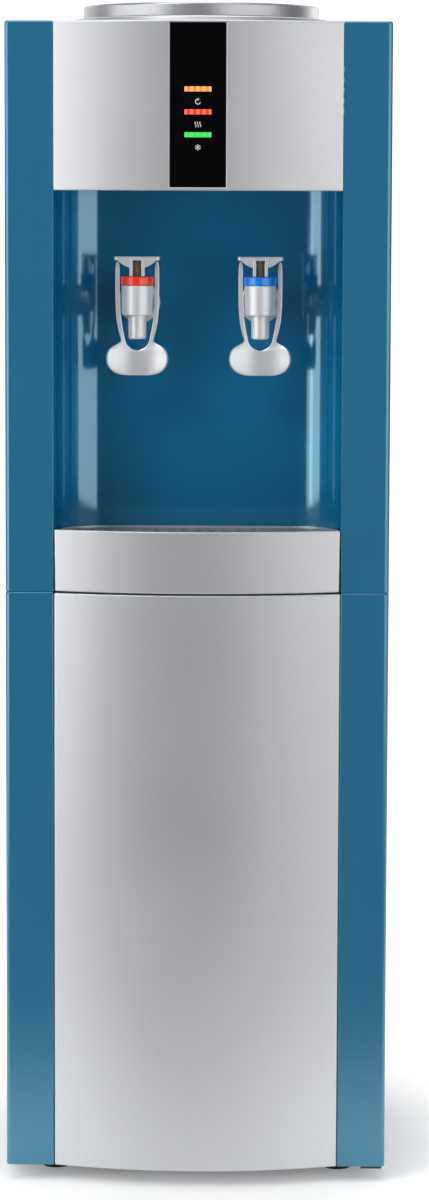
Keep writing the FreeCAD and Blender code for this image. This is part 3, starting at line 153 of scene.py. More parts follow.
def edit(piece):
    take(piece)
    bpy.ops.object.mode_set(mode="EDIT")
    bpy.ops.mesh.select_mode(type="VERT")


def take_all():
    """Selects all of the mesh that is being edited."""
    bpy.ops.mesh.select_all(action="SELECT")


def pick(piece, kind, test):
    """Selects the points, edges or faces whose place or normal passes the test."""
    bpy.ops.mesh.select_mode(type=kind)
    bpy.ops.mesh.select_all(action="DESELECT")
    mesh = bmesh.from_edit_mesh(piece.data)
    group = {"VERT": mesh.verts, "EDGE": mesh.edges, "FACE": mesh.faces}[kind]
    for element in group:
        if test(element):
            element.select_set(True)
    mesh.select_flush_mode()
    bmesh.update_edit_mesh(piece.data)


def rename(piece, name):
    piece.name = name
    piece.data.name = name
    return piece


def named(name):
    """The fresh primitive, its place put into its mesh."""
    piece = rename(bpy.context.object, name)
    bpy.ops.object.transform_apply(location=True, rotation=True, scale=True)
    return piece


def move(x, y, z):
    bpy.ops.transform.translate(value=mm(x, y, z))


def draw_out(x, y, z):
    bpy.ops.mesh.extrude_region_move(TRANSFORM_OT_translate={"value": mm(x, y, z)})


def sweep(angle, x, y, steps):
    """Turns what is selected about an upright axis, anticlockwise from above."""
    bpy.ops.mesh.spin(steps=steps, angle=-math.radians(angle), center=mm(x, y, 0), axis=(0, 0, 1))


def merge_points():
    take_all()
    bpy.ops.mesh.remove_doubles(threshold=0.002 * MM)


def close_up():
    """Merges the seams of the mesh that is being edited and turns its faces outwards."""
    merge_points()
    bpy.ops.mesh.normals_make_consistent(inside=False)
    leave()


def apply(piece, kind, **settings):
    """Adds a modifier and applies it."""
    take(piece)
    modifier = piece.modifiers.new(kind.lower(), kind)
    for key, value in settings.items():
        setattr(modifier, key, value)
    bpy.ops.object.modifier_apply(modifier=modifier.name)
    return piece


def soften(piece, width, segments):
    """Breaks the sharp edges with a small round."""
    return apply(piece, "BEVEL", width=width * MM, segments=segments, limit_method="ANGLE",
                 angle_limit=math.radians(SHARP), use_clamp_overlap=False)


def wall(piece, thickness):
    """Gives a sheet its thickness, behind its face."""
    return apply(piece, "SOLIDIFY", thickness=thickness * MM, offset=-1.0, use_even_offset=True)


def smooth(piece, angle=40):
    take(piece)
    bpy.ops.object.shade_smooth_by_angle(angle=math.radians(angle))
    return apply(piece, "WEIGHTED_NORMAL", mode="FACE_AREA", weight=80, keep_sharp=True)


def join(name, parts):
    take(parts[0])
    for part in parts[1:]:
        part.select_set(True)
    if len(parts) > 1:
        bpy.ops.object.join()
    return rename(parts[0], name)


def copied(piece, name, x, y, z):
    """A copy with its own mesh, set over by a distance."""
    take(piece)
    bpy.ops.object.duplicate(linked=False)
    twin = rename(bpy.context.object, name)
    edit(twin)
    take_all()
    move(x, y, z)
    leave()
    return twin


def mirrored(piece, name):
    """A twin on the other side of the middle."""
    twin = copied(piece, name, 0, 0, 0)
    edit(twin)
    take_all()
    bpy.ops.transform.resize(value=(-1, 1, 1), center_override=(0, 0, 0))
    close_up()
    return twin


def cut_with(piece, tool):
    apply(piece, "BOOLEAN", operation="DIFFERENCE", solver="EXACT", object=tool)
    bpy.data.objects.remove(tool)


def face_towards(piece, x, y, z):
    """Turns an open sheet's faces towards a point."""
    begin()
    polygon = piece.data.polygons[0]
    if polygon.normal.dot(Vector(mm(x, y, z)) - polygon.center) < 0:
        edit(piece)
        take_all()
        bpy.ops.mesh.flip_normals()
        leave()
    return piece


def dress(piece, body, slot, *replaced, finish=None):
    """Gives a piece its finish, which is its slot's unless another is given, the body it rides on,
    and hides the nodes it replaces.
    """
    piece.data.materials.clear()
    piece.data.materials.append(finish or SLOT_FINISH[slot])
    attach(piece, body)
    if replaced:
        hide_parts(*replaced)


# Outlines traced from one point

def start_point(name, x, y, z):
    """One point, from a small plate merged at its centre, ready to be traced on."""
    begin()
    bpy.ops.mesh.primitive_plane_add(size=2 * MM, location=mm(x, y, z))
    piece = named(name)
    edit(piece)
    take_all()
    bpy.ops.mesh.merge(type="CENTER")
    take_all()
    return piece


def trace(x, y, z):
    bpy.ops.mesh.extrude_vertices_move(TRANSFORM_OT_translate={"value": mm(x, y, z)})


def trace_steps(*steps):
    for x, y in steps:
        trace(x, y, 0)


def bow_y(x, inset):
    return BOW_CENTRE_Y - math.sqrt((BOW_RADIUS - inset) ** 2 - x * x)


def sweep_bow(half, inset, steps):
    angle = 2 * math.degrees(math.asin(half / (BOW_RADIUS - inset)))
    sweep(angle, 0, BOW_CENTRE_Y, steps)


def trace_bow(half, inset, back, steps):
    """From the left end forward, along the bow and back on the right."""
    reach = bow_y(half, inset) - back
    trace(0, reach, 0)
    sweep_bow(half, inset, steps)
    trace(0, -reach, 0)


def trace_rear(half, corner, bend_y, steps):
    """Round the right rear corner, along the rear and round the left one."""
    sweep(90, half - corner, bend_y, steps)
    trace(2 * (corner - half), 0, 0)
    sweep(90, corner - half, bend_y, steps)


def fill_outline():
    merge_points()
    bpy.ops.mesh.edge_face_add()


def raised(height):
    """Closes the traced outline, fills it and draws it up."""
    fill_outline()
    draw_out(0, 0, height)
    close_up()


def bowed_sheet(name, half, inset, low, high, steps=64):
    """An upright edge swept along the bow of the front."""
    piece = start_point(name, -half, bow_y(half, inset), low)
    trace(0, 0, high - low)
    take_all()
    sweep_bow(half, inset, steps)
    close_up()
    return face_towards(piece, *VIEWER)


# Turned pieces, bars and frame nodes with broken edges

def turned(name, centre, rings, sides, axis="Z", cap=False):
    """A circle drawn out ring by ring, each ring (radius, place along the axis)."""
    upright = axis == "Z"

    def at(level):
        return mm(centre[0], centre[1], level) if upright else mm(centre[0], level, centre[2])

    radius, level = rings[0]
    begin()
    bpy.ops.mesh.primitive_circle_add(vertices=sides, radius=radius * MM, fill_type="NOTHING",
                                      location=at(level),
                                      rotation=(0 if upright else math.pi / 2, 0, 0))
    piece = named(name)
    edit(piece)
    take_all()
    if cap:
        bpy.ops.mesh.edge_face_add()
        take_all()
    for (radius, level), (new_radius, new_level) in zip(rings, rings[1:]):
        step = new_level - level
        draw_out(0, 0 if upright else step, step if upright else 0)
        k = new_radius / radius
        if abs(k - 1) > 1e-6:
            bpy.ops.transform.resize(value=(k, k, 1) if upright else (k, 1, k),
                                     center_override=at(new_level))
    close_up()
    return piece


def quarter(radius, level, edge, first, last, count=5):
    """Ring places on a round edge, for angles measured from straight out."""
    places = []
    for step in range(count + 1):
        angle = math.radians(first + (last - first) * step / count)
        places.append((radius + edge * math.cos(angle), level + edge * math.sin(angle)))
    return places


def slab(name, x, y, z, width=0, segments=2):
    """A plate or bar between two corners, its edges broken where a width is given."""
    begin()
    size = [(b - a) * MM for a, b in (x, y, z)]
    centre = [(a + b) / 2 * MM for a, b in (x, y, z)]
    bpy.ops.mesh.primitive_cube_add(size=1, location=centre, scale=size)
    piece = named(name)
    if width:
        soften(piece, width, segments)
    return piece


def softened(node, width, least):
    """A copy of a frame node with its long outer edges broken."""
    begin()
    piece = bpy.data.objects.new(node + "_shell", nodes[node].data.copy())
    scene.collection.objects.link(piece)
    edit(piece)
    bpy.ops.mesh.customdata_custom_splitnormals_clear()
    take_all()
    bpy.ops.mesh.remove_doubles(threshold=0.001 * MM)
    bpy.ops.mesh.dissolve_limited(angle_limit=math.radians(0.6))
    angle = 40

    def long_and_sharp(edge):
        if len(edge.link_faces) != 2 or edge.calc_length() < least * MM or not edge.is_convex:
            return False
        return edge.calc_face_angle() > math.radians(angle)

    pick(piece, "EDGE", long_and_sharp)
    bpy.ops.mesh.bevel(offset=width * MM, segments=2, affect="EDGES", clamp_overlap=True)
    leave()
    return smooth(piece, angle)


# Nodes of the finishes

def feed(tree, value, socket):
    """Sets a socket to a number or a colour, or links it to another node."""
    if isinstance(value, bpy.types.NodeSocket):
        tree.links.new(value, socket)
    else:
        socket.default_value = (*value, 1) if isinstance(value, tuple) else value


def reckon(tree, kind, first, second, clamp=False):
    """A Math node."""
    node = tree.nodes.new("ShaderNodeMath")
    node.operation = kind
    node.use_clamp = clamp
    for socket, value in zip(node.inputs, (first, second)):
        feed(tree, value, socket)
    return node.outputs["Value"]


def stretch(tree, place, factors):
    """Coordinates multiplied axis by axis."""
    node = tree.nodes.new("ShaderNodeVectorMath")
    node.operation = "MULTIPLY"
    tree.links.new(place, node.inputs[0])
    if isinstance(factors, bpy.types.NodeSocket):
        tree.links.new(factors, node.inputs[1])
    else:
        node.inputs[1].default_value = factors
    return node.outputs["Vector"]


def ramp(tree, value, span, result, kind="LINEAR"):
    """A Map Range node: a span of the value becomes a span of the result."""
    node = tree.nodes.new("ShaderNodeMapRange")
    node.interpolation_type = kind
    for label, number in zip(("From Min", "From Max", "To Min", "To Max"), (*span, *result)):
        node.inputs[label].default_value = number
    tree.links.new(value, node.inputs["Value"])
    return node.outputs["Result"]


def blend(tree, mask, first, second):
    """A colour between two, by a mask, through the colour sockets of a Mix node."""
    mix = tree.nodes.new("ShaderNodeMix")
    mix.data_type = "RGBA"
    for value, socket in ((mask, mix.inputs[0]), (first, mix.inputs[6]), (second, mix.inputs[7])):
        feed(tree, value, socket)
    return mix.outputs[2]


def noise(tree, place, detail):
    node = tree.nodes.new("ShaderNodeTexNoise")
    node.inputs["Detail"].default_value = detail
    tree.links.new(place, node.inputs["Vector"])
    return node


# Shared effects of the finishes

def effect(name, inputs, outputs):
    """A node group: its tree, what it is given, what it puts out, and the piece's coordinates."""
    tree = bpy.data.node_groups.new(name, "ShaderNodeTree")
    for label, value in inputs.items():
        socket = tree.interface.new_socket(name=label, in_out="INPUT",
                                           socket_type="NodeSocketFloat")
        socket.default_value = value
    for label in outputs:
        tree.interface.new_socket(name=label, in_out="OUTPUT", socket_type="NodeSocketFloat")
    given = tree.nodes.new("NodeGroupInput").outputs
    out = tree.nodes.new("NodeGroupOutput").inputs
    place = tree.nodes.new("ShaderNodeTexCoord").outputs["Object"]
    return tree, given, out, place


def make_moulded_grain():
    """Fine surface grain and slow patches, as on moulded or sprayed parts."""
    tree, given, out, place = effect("moulded_grain", {"Grain": 1400.0, "Patch": 14.0},
                                     ("Height", "Patches"))
    for label, result, detail in (("Grain", "Height", 3.0), ("Patch", "Patches", 2.0)):
        cloud = noise(tree, place, detail)
        tree.links.new(given[label], cloud.inputs["Scale"])
        tree.links.new(cloud.outputs["Fac"], out[result])
    return tree


def make_metal_flake():
    """Sparkle of the flakes in a metallic paint."""
    tree, given, out, place = effect("metal_flake", {"Size": 1600.0}, ("Sparkle",))
    cells = tree.nodes.new("ShaderNodeTexVoronoi")
    bright = tree.nodes.new("ShaderNodeSeparateColor")
    tree.links.new(place, cells.inputs["Vector"])
    tree.links.new(given["Size"], cells.inputs["Scale"])
    tree.links.new(cells.outputs["Color"], bright.inputs["Color"])
    tree.links.new(bright.outputs["Red"], out["Sparkle"])
    return tree


def make_drawn_lines():
    """Fine lines along one axis, as drawing or turning leaves on metal."""
    tree, given, out, place = effect("drawn_lines", {"Across": 900.0, "Along": 12.0}, ("Lines",))
    rates = tree.nodes.new("ShaderNodeCombineXYZ")
    for axis, label in (("X", "Along"), ("Y", "Along"), ("Z", "Across")):
        tree.links.new(given[label], rates.inputs[axis])
    lines = noise(tree, stretch(tree, place, rates.outputs["Vector"]), 2.0)
    lines.inputs["Scale"].default_value = 1.0
    tree.links.new(lines.outputs["Fac"], out["Lines"])
    return tree


def make_settled_dust():
    """A mask that grows on faces that look up, broken by slow noise."""
    tree, given, out, place = effect("settled_dust", {"Amount": 0.5}, ("Dust",))
    normal = tree.nodes.new("ShaderNodeSeparateXYZ")
    tree.links.new(tree.nodes.new("ShaderNodeNewGeometry").outputs["Normal"],
                   normal.inputs["Vector"])
    cloud = noise(tree, place, 4.0)
    cloud.inputs["Scale"].default_value = 45.0
    upward = reckon(tree, "MAXIMUM", normal.outputs["Z"], 0.0)
    upward = reckon(tree, "POWER", upward, 4.0, clamp=True)
    cover = reckon(tree, "MULTIPLY", upward, cloud.outputs["Fac"])
    cover = reckon(tree, "MULTIPLY", cover, given["Amount"], clamp=True)
    tree.links.new(cover, out["Dust"])
    return tree


EFFECTS = {tree.name: tree for tree in (make_moulded_grain(), make_metal_flake(),
                                        make_drawn_lines(), make_settled_dust())}
# Most of a noise pattern lies between these values
NOISE_SPAN = (0.3, 0.7)
RELIEF_DEPTH = 0.0002


class Finish:
    """A material under way: its shader and the nodes that vary over the surface."""

    def __init__(self, name, colour, roughness, metallic=0.0, coat=0.0, specular=0.5, ior=1.5,
                 tint=(1, 1, 1)):
        self.material = bpy.data.materials.new(name)
        self.material.use_nodes = True
        self.material.diffuse_color = (*colour, 1)
        self.tree = self.material.node_tree
        self.shader = self.tree.nodes["Principled BSDF"]
        for label, value in (("Base Color", colour), ("Roughness", roughness),
                             ("Metallic", metallic), ("Coat Weight", coat),
                             ("Coat Roughness", 0.08), ("Specular IOR Level", specular),
                             ("IOR", ior), ("Specular Tint", tint)):
            self.feed(value, label)

    def feed(self, value, label):
        feed(self.tree, value, self.shader.inputs[label])

    def place(self, effect_name, **values):
        """Puts a shared effect into the material, with its own values."""
        node = self.tree.nodes.new("ShaderNodeGroup")
        node.node_tree = EFFECTS[effect_name]
        for label, value in values.items():
            node.inputs[label].default_value = value
        return node.outputs

    def vary_colour(self, mask, colour, share):
        """The colour, a share darker to a share lighter by a mask."""
        dark, light = (tuple(min(1.0, c * k) for c in colour) for k in (1 - share, 1 + share))
        return blend(self.tree, mask, dark, light)

    def vary_roughness(self, mask, roughness, spread):
        result = (roughness - spread, roughness + spread)
        self.feed(ramp(self.tree, mask, NOISE_SPAN, result), "Roughness")

    def settle(self, amount, colour, dust_colour):
        """Dust over a colour."""
        film = self.place("settled_dust", Amount=amount)
        return blend(self.tree, film["Dust"], colour, dust_colour)

    def bump(self, height, strength):
        node = self.tree.nodes.new("ShaderNodeBump")
        node.inputs["Strength"].default_value = strength
        node.inputs["Distance"].default_value = RELIEF_DEPTH
        self.tree.links.new(height, node.inputs["Height"])
        self.feed(node.outputs["Normal"], "Normal")


def moulded(name, colour, roughness, grain=1400.0, relief=0.06, vary=0.05, spread=0.05, dust=0.0,
            **more):
    """A moulded or sprayed part: fine grain, slow patches and a little dust on top."""
    made = Finish(name, colour, roughness, **more)
    surface = made.place("moulded_grain", Grain=grain)
    paint = colour
    if vary:
        paint = made.vary_colour(surface["Patches"], colour, vary)
    if dust:
        paint = made.settle(dust, paint, (0.55, 0.54, 0.52))
    made.feed(paint, "Base Color")
    if spread:
        made.vary_roughness(surface["Patches"], roughness, spread)
    made.bump(surface["Height"], relief)
    return made.material


def silver_lacquer(name, colour, roughness, metallic, dust=0.0):
    """Metallic lacquer: flakes that differ in brightness under a satin skin."""
    made = Finish(name, colour, roughness, metallic=metallic)
    surface = made.place("moulded_grain", Grain=1100.0, Patch=9.0)
    flakes = made.place("metal_flake", Size=2400.0)
    paint = made.vary_colour(flakes["Sparkle"], colour, 0.03)
    if dust:
        paint = made.settle(dust, paint, (0.6, 0.6, 0.59))
    made.feed(paint, "Base Color")
    made.vary_roughness(surface["Patches"], roughness, 0.025)
    made.bump(surface["Height"], 0.02)
    return made.material


def drawn_metal(name, colour, roughness, across=900.0, along=14.0, metallic=1.0):
    """Bare metal with the marks of drawing or turning."""
    made = Finish(name, colour, roughness, metallic=metallic)
    lines = made.place("drawn_lines", Across=across, Along=along)["Lines"]
    made.feed(made.vary_colour(lines, colour, 0.1), "Base Color")
    made.vary_roughness(lines, roughness, 0.06)
    made.bump(lines, 0.08)
    return made.material


def lit_lens(name, colour, dim, strength):
    """A lamp lens lit from behind, brighter over each of its diodes, 5 mm apart."""
    made = Finish(name, dim, 0.25)
    place = made.tree.nodes.new("ShaderNodeTexCoord")
    diodes = made.tree.nodes.new("ShaderNodeTexWave")
    diodes.inputs["Scale"].default_value = 62.8
    diodes.inputs["Phase Offset"].default_value = math.pi
    made.tree.links.new(place.outputs["Object"], diodes.inputs["Vector"])
    glow = ramp(made.tree, diodes.outputs["Fac"], NOISE_SPAN, (0.0, 1.0))
    made.feed(blend(made.tree, glow, dim, colour), "Emission Color")
    made.feed(strength, "Emission Strength")
    return made.material


BLUE = (0.016, 0.128, 0.238)
STILE_BLUE = (0.018, 0.145, 0.270)
NICHE_BLUE = (0.004, 0.172, 0.350)
SILVER = (0.62, 0.63, 0.65)
BLUE_GLINT = (0.50, 0.85, 1.0)
NICHE_GLINT = (0.48, 0.83, 1.0)

# The finish of each material slot, and two more for the collar and the printed marks
SLOT_FINISH = {
    "blue_satin": moulded("satin_blue_shell", BLUE, 0.27, grain=900.0, relief=0.03, vary=0,
                          spread=0, specular=0.6, tint=BLUE_GLINT, dust=0.12),
    "blue_plastic": moulded("gloss_blue_stile", STILE_BLUE, 0.20, grain=900.0, relief=0.03, vary=0,
                            spread=0, specular=1.0, ior=1.75, tint=BLUE_GLINT, dust=0.12),
    "blue_gloss": moulded("gloss_blue_niche", NICHE_BLUE, 0.12, grain=500.0, relief=0.015, vary=0,
                          spread=0, specular=1.0, ior=1.85, coat=0.15, tint=NICHE_GLINT),
    "silver_paint": silver_lacquer("silver_lacquer", SILVER, 0.46, 0.75, dust=0.1),
    "black_gloss": moulded("black_gloss_strip", (0.001, 0.001, 0.0015), 0.08, relief=0.01, vary=0,
                           spread=0.03, specular=0.35),
    "lamp_amber": lit_lens("amber_lens", (0.93, 0.39, 0.16), (0.55, 0.16, 0.03), 1.0),
    "lamp_red": lit_lens("red_lens", (0.88, 0.20, 0.088), (0.55, 0.02, 0.015), 1.0),
    "lamp_green": lit_lens("green_lens", (0.10, 0.44, 0.10), (0.02, 0.45, 0.06), 0.95),
    "board_green": moulded("circuit_board", (0.03, 0.16, 0.07), 0.45),
    "tap_silver": silver_lacquer("tap_silver", (0.74, 0.75, 0.76), 0.40, 0.40),
    "tap_red": moulded("red_ring", (0.88, 0.040, 0.016), 0.22, relief=0.02, coat=0.4),
    "tap_blue": moulded("blue_ring", (0.004, 0.22, 0.78), 0.22, relief=0.02, coat=0.4),
    "lever_grey": silver_lacquer("lever_silver", (0.72, 0.73, 0.75), 0.34, 0.45),
    "stem_brass": drawn_metal("turned_brass", (0.34, 0.28, 0.17), 0.40, metallic=0.45),
    "pin_steel": drawn_metal("plain_steel", (0.52, 0.52, 0.52), 0.32),
    "seal_rubber": moulded("clear_silicone", (0.72, 0.72, 0.68), 0.45),
    "black_rubber": moulded("black_rubber", (0.015, 0.015, 0.016), 0.72, relief=0.12, dust=0.25),
    "dark_steel": moulded("black_lacquer", (0.018, 0.018, 0.020), 0.38, relief=0.1, dust=0.3),
    "zinc_steel": drawn_metal("zinc_sheet", (0.50, 0.51, 0.52), 0.42, across=60.0, along=60.0),
    "grille_grey": moulded("grille_grey", (0.32, 0.33, 0.34), 0.42, relief=0.05),
    "liner_white": moulded("liner_white", (0.74, 0.75, 0.76), 0.40, relief=0.08, dust=0.08),
    "stainless": drawn_metal("stainless_sheet", (0.60, 0.60, 0.59), 0.28),
    "foam_white": moulded("expanded_foam", (0.78, 0.78, 0.75), 0.85, grain=320.0, relief=0.5),
    "copper": drawn_metal("copper_tube", (0.66, 0.33, 0.20), 0.30),
    "black_plastic": moulded("black_plastic", (0.022, 0.022, 0.023), 0.42, relief=0.1),
    "rocker_red": moulded("rocker_red", (0.58, 0.025, 0.022), 0.28, relief=0.03),
    "rocker_green": moulded("rocker_green", (0.02, 0.32, 0.08), 0.28, relief=0.03),
}
collar_silver = silver_lacquer("collar_silver", (0.50, 0.51, 0.53), 0.38, 0.75, dust=0.1)
print_white = moulded("printed_white", (0.78, 0.78, 0.80), 0.5, relief=0.02)

for node, thing in nodes.items():
    thing.data.materials.clear()
    thing.data.materials.append(SLOT_FINISH[node_slot[node]])


def soften_boxy_parts():
    """Copies of plain folded or moulded parts, with their long edges broken."""
    for node, body, width, least in (
        ("left_side_panel", "cabinet", 0.25, 6.0), ("right_side_panel", "cabinet", 0.25, 6.0),
        ("rear_panel", "cabinet", 0.25, 6.0), ("drip_grille", "grille", 0.5, 3.0),
        ("switch_housings", "cabinet", 0.5, 4.0), ("heat_rocker", "heat_switch", 0.5, 4.0),
        ("cool_rocker", "cool_switch", 0.5, 4.0), ("base_plate", "cabinet", 0.4, 6.0),
    ):
        dress(softened(node, width, least), body, node_slot[node], node)


# Silver panels

def make_head_panel():
    """The bowed head panel with its window for the control strip."""
    piece = bowed_sheet("head_panel_skin", HEAD_HALF, 0, HEAD_LOW, HEAD_TOP)
    edit(piece)
    side, low, top = STRIP_HALF + STRIP_GAP, STRIP_LOW - STRIP_GAP, STRIP_TOP + STRIP_GAP
    for place, normal in ((mm(-side, 0, 0), (1, 0, 0)), (mm(side, 0, 0), (1, 0, 0)),
                          (mm(0, 0, low), (0, 0, 1)), (mm(0, 0, top), (0, 0, 1))):
        take_all()
        bpy.ops.mesh.bisect(plane_co=place, plane_no=normal)

    def in_window(face):
        spot = face.calc_center_median()
        return abs(spot.x) < side * MM and low * MM < spot.z < top * MM

    pick(piece, "FACE", in_window)
    bpy.ops.mesh.delete(type="FACE")
    leave()
    wall(piece, MOULDED_WALL)
    soften(piece, 0.9, 3)
    smooth(piece)
    dress(piece, "cabinet", "silver_paint", "head_panel")


def make_door_panel():
    """A block with a flat back and the bowed front."""
    back = DOOR_RECESS - 0.05
    piece = start_point("door_panel_skin", -SILVER_HALF, back, DOOR_LOW)
    trace_bow(SILVER_HALF, 0, back, 64)
    raised(DOOR_TOP + PANEL_LIFT - DOOR_LOW)
    soften(piece, 1.2, 3)
    smooth(piece)
    dress(piece, "door", "silver_paint", "door_panel")


# Blue frame: stiles with the crown rails, and the door's own stiles

def round_top_edge(piece, top, radius, front=FRONT_Y):
    """Rounds the edge between the top and the outer faces, corner arcs included."""
    def outside(corner):
        x, y = abs(corner.co.x) / MM, corner.co.y / MM
        arc = math.hypot(x - (CASE_HALF - STILE_EDGE), y - (front + STILE_EDGE))
        on_arc = abs(arc - STILE_EDGE) < 0.02
        return x > CASE_HALF - 0.01 or y < front + 0.01 or on_arc

    def on_top(edge):
        return all(v.co.z > (top - 0.1) * MM and outside(v) for v in edge.verts)

    edit(piece)
    pick(piece, "EDGE", on_top)
    bpy.ops.mesh.bevel(offset=radius * MM, segments=5, affect="EDGES")
    leave()


def make_front_frame():
    """Right stile with a lip round the niche, its twin on the left, and the crown."""
    lip = 3.3
    stile = start_point("stile", NICHE_HALF, FRONT_Y, DECK)
    trace(STILE_WIDTH - STILE_EDGE, 0, 0)
    sweep(90, CASE_HALF - STILE_EDGE, FRONT_Y + STILE_EDGE, 8)
    trace_steps((0, STILE_BACK - FRONT_Y - STILE_EDGE), (lip - STILE_WIDTH, 0),
                (0, NICHE_FRONT - STILE_BACK), (-lip, 0))
    raised(CROWN - DECK)
    round_top_edge(stile, CROWN, CROWN_EDGE)
    soften(stile, 0.6, 2)
    ledge_inner, rail_inner, rail_low, rail_rear = 146.0, 152.0, 867.0, 137.2
    rail = slab("rail", (rail_inner, CASE_HALF), (STILE_BACK, rail_rear), (rail_low, CROWN))
    round_top_edge(rail, CROWN, CROWN_EDGE)
    soften(rail, 0.4, 2)
    ledge = slab("ledge", (ledge_inner, rail_inner), (STILE_BACK, rail_rear),
                 (COVER_SEAT - 4.0, COVER_SEAT), 0.4)
    right = join("right_side", [stile, rail, ledge])
    left = mirrored(right, "left_side")
    crossbar_front = -133.2
    crossbar = slab("crossbar", (-NICHE_HALF, NICHE_HALF),
                    (crossbar_front, crossbar_front + MOULDED_WALL),
                    (COVER_SEAT - 28.0, COVER_SEAT), 0.4)
    piece = join("front_frame_shell", [right, left, crossbar])
    smooth(piece)
    dress(piece, "cabinet", "blue_plastic", "front_frame")


def make_door_frame():
    """The door's stiles and back web in one plan outline, with the finger pull cut in."""
    recess = DOOR_RECESS - DOOR_FRONT
    corner_x, corner_y = CASE_HALF - STILE_EDGE, DOOR_FRONT + STILE_EDGE
    piece = start_point("door_frame_shell", -NICHE_HALF, DOOR_FRONT, DOOR_LOW)
    trace_steps((0, recess), (2 * NICHE_HALF, 0), (0, -recess), (STILE_WIDTH - STILE_EDGE, 0))
    sweep(90, corner_x, corner_y, 8)
    trace(0, HINGE_Y - corner_y, 0)
    sweep(90, HINGE_X, HINGE_Y, 10)
    trace_steps((-CASE_HALF - HINGE_X, 0), (0, corner_y - DOOR_BACK))
    sweep(90, -corner_x, corner_y, 8)
    raised(DOOR_TOP + FRAME_LIFT - DOOR_LOW)
    round_top_edge(piece, DOOR_TOP + FRAME_LIFT, DOOR_EDGE, DOOR_FRONT)
    soften(piece, 0.9, 3)
    pull_radius, pull_length = 11.0, 90.0
    begin()
    bpy.ops.mesh.primitive_cylinder_add(vertices=64, radius=pull_radius * MM,
                                        depth=pull_length * MM,
                                        location=mm(-CASE_HALF - 4.0, DOOR_BACK, 293.5))
    cut_with(piece, named("pull_cutter"))
    strike_width, strike_depth, strike_height = (-146.1, -135.9), 1.6, (236.9, 263.1)
    cut_with(piece, slab("strike_cutter", strike_width,
                         (DOOR_BACK - strike_depth, DOOR_BACK + 2.0), strike_height))
    smooth(piece)
    dress(piece, "door", "blue_plastic", "door_frame")


# Dispensing niche

def make_niche():
    """One upright edge drawn back, round the rear corners and forward, then floor and ceiling."""
    corner = NICHE_HALF - NICHE_CORNER
    depth = NICHE_BEND_Y - NICHE_FRONT
    shell = start_point("niche_wall", -NICHE_HALF, NICHE_FRONT, DECK)
    trace(0, 0, HEAD_LOW + MOULDED_WALL - DECK)
    take_all()
    draw_out(0, depth, 0)
    sweep(-90, -corner, NICHE_BEND_Y, 28)
    draw_out(2 * corner, 0, 0)
    sweep(-90, corner, NICHE_BEND_Y, 28)
    draw_out(0, -depth, 0)
    close_up()
    face_towards(shell, 0, -100, 650)
    wall(shell, MOULDED_WALL)
    soften(shell, 0.5, 2)

    floor_front = -131.0
    floor = start_point("niche_floor", -NICHE_HALF, floor_front, DECK)
    trace(0, NICHE_BEND_Y - floor_front, 0)
    sweep(-90, -corner, NICHE_BEND_Y, 14)
    trace(2 * corner, 0, 0)
    sweep(-90, corner, NICHE_BEND_Y, 14)
    trace(0, floor_front - NICHE_BEND_Y, 0)
    raised(MOULDED_WALL)

    ceiling = start_point("niche_ceiling", -SILVER_HALF, NICHE_BEND_Y, HEAD_LOW)
    trace_bow(SILVER_HALF, UNDER_SKIN, NICHE_BEND_Y, 32)
    trace_rear(SILVER_HALF, NICHE_CORNER, NICHE_BEND_Y, 14)
    raised(MOULDED_WALL)
    piece = join("dispenser_niche_shell", [shell, floor, ceiling])
    smooth(piece, 35)
    dress(piece, "cabinet", "blue_gloss", "dispenser_niche")


# Drip tray

def make_drip_tray():
    """A basin with a grille ledge, and a bowed apron that narrows towards its foot."""
    half, corner, bend_y, inset = 114.0, 37.5, -84.0, 1.25
    low, rim = 489.3, 532.0
    basin = start_point("basin", -half, bend_y, low)
    trace_bow(half, inset, bend_y, 48)
    trace_rear(half, corner, bend_y, 16)
    fill_outline()
    draw_out(0, 0, rim - low)
    for lip, drop in ((2.5, 4.55), (2.0, 35.65)):
        bpy.ops.mesh.inset(thickness=lip * MM, use_even_offset=True)
        draw_out(0, 0, -drop)
    close_up()
    soften(basin, 0.4, 2)

    apron_half, foot_half = 115.6, 115.0
    apron = bowed_sheet("apron", apron_half, 0, DECK + 0.5, TRAY_TOP)
    edit(apron)
    pick(apron, "VERT", lambda v: v.co.z < (DECK + 1) * MM)
    bpy.ops.transform.resize(value=(foot_half / apron_half, 1, 1), center_override=mm(0, 0, DECK))
    leave()
    wall(apron, 5.0)
    soften(apron, 1.2, 4)
    piece = join("drip_tray_shell", [apron, basin])
    smooth(piece)
    dress(piece, "tray", "silver_paint", "drip_tray")


# Top: collar and cover

def make_bottle_collar():
    """The band, the funnel down to the neck well, and the way back up outside."""
    band_low = FLANGE_TOP + 0.2
    rings = [(94.0, 946.0), (94.0, band_low), (97.6, band_low), (98.0, band_low + 0.4)]
    rings += quarter(95.8, 957.8, 2.2, 0, 90, 6)
    rings += quarter(90.5, 958.5, 1.5, 90, 180)
    rings += [(89.0, 951.2), (88.4, 949.9), (34.2, 920.6), (33.0, 919.0), (33.0, 873.0),
              (32.0, 872.0), (9.1, 872.0), (9.1, 851.0), (12.0, 851.0), (12.0, 869.0),
              (36.0, 869.0), (36.0, 917.0), (89.05, 947.0), (89.05, 946.0), (94.0, 946.0)]
    piece = turned("bottle_collar_shell", (0, 0, 0), rings, TOP_SIDES)
    smooth(piece, 30)
    dress(piece, "collar", "silver_paint", "bottle_collar", finish=collar_silver)


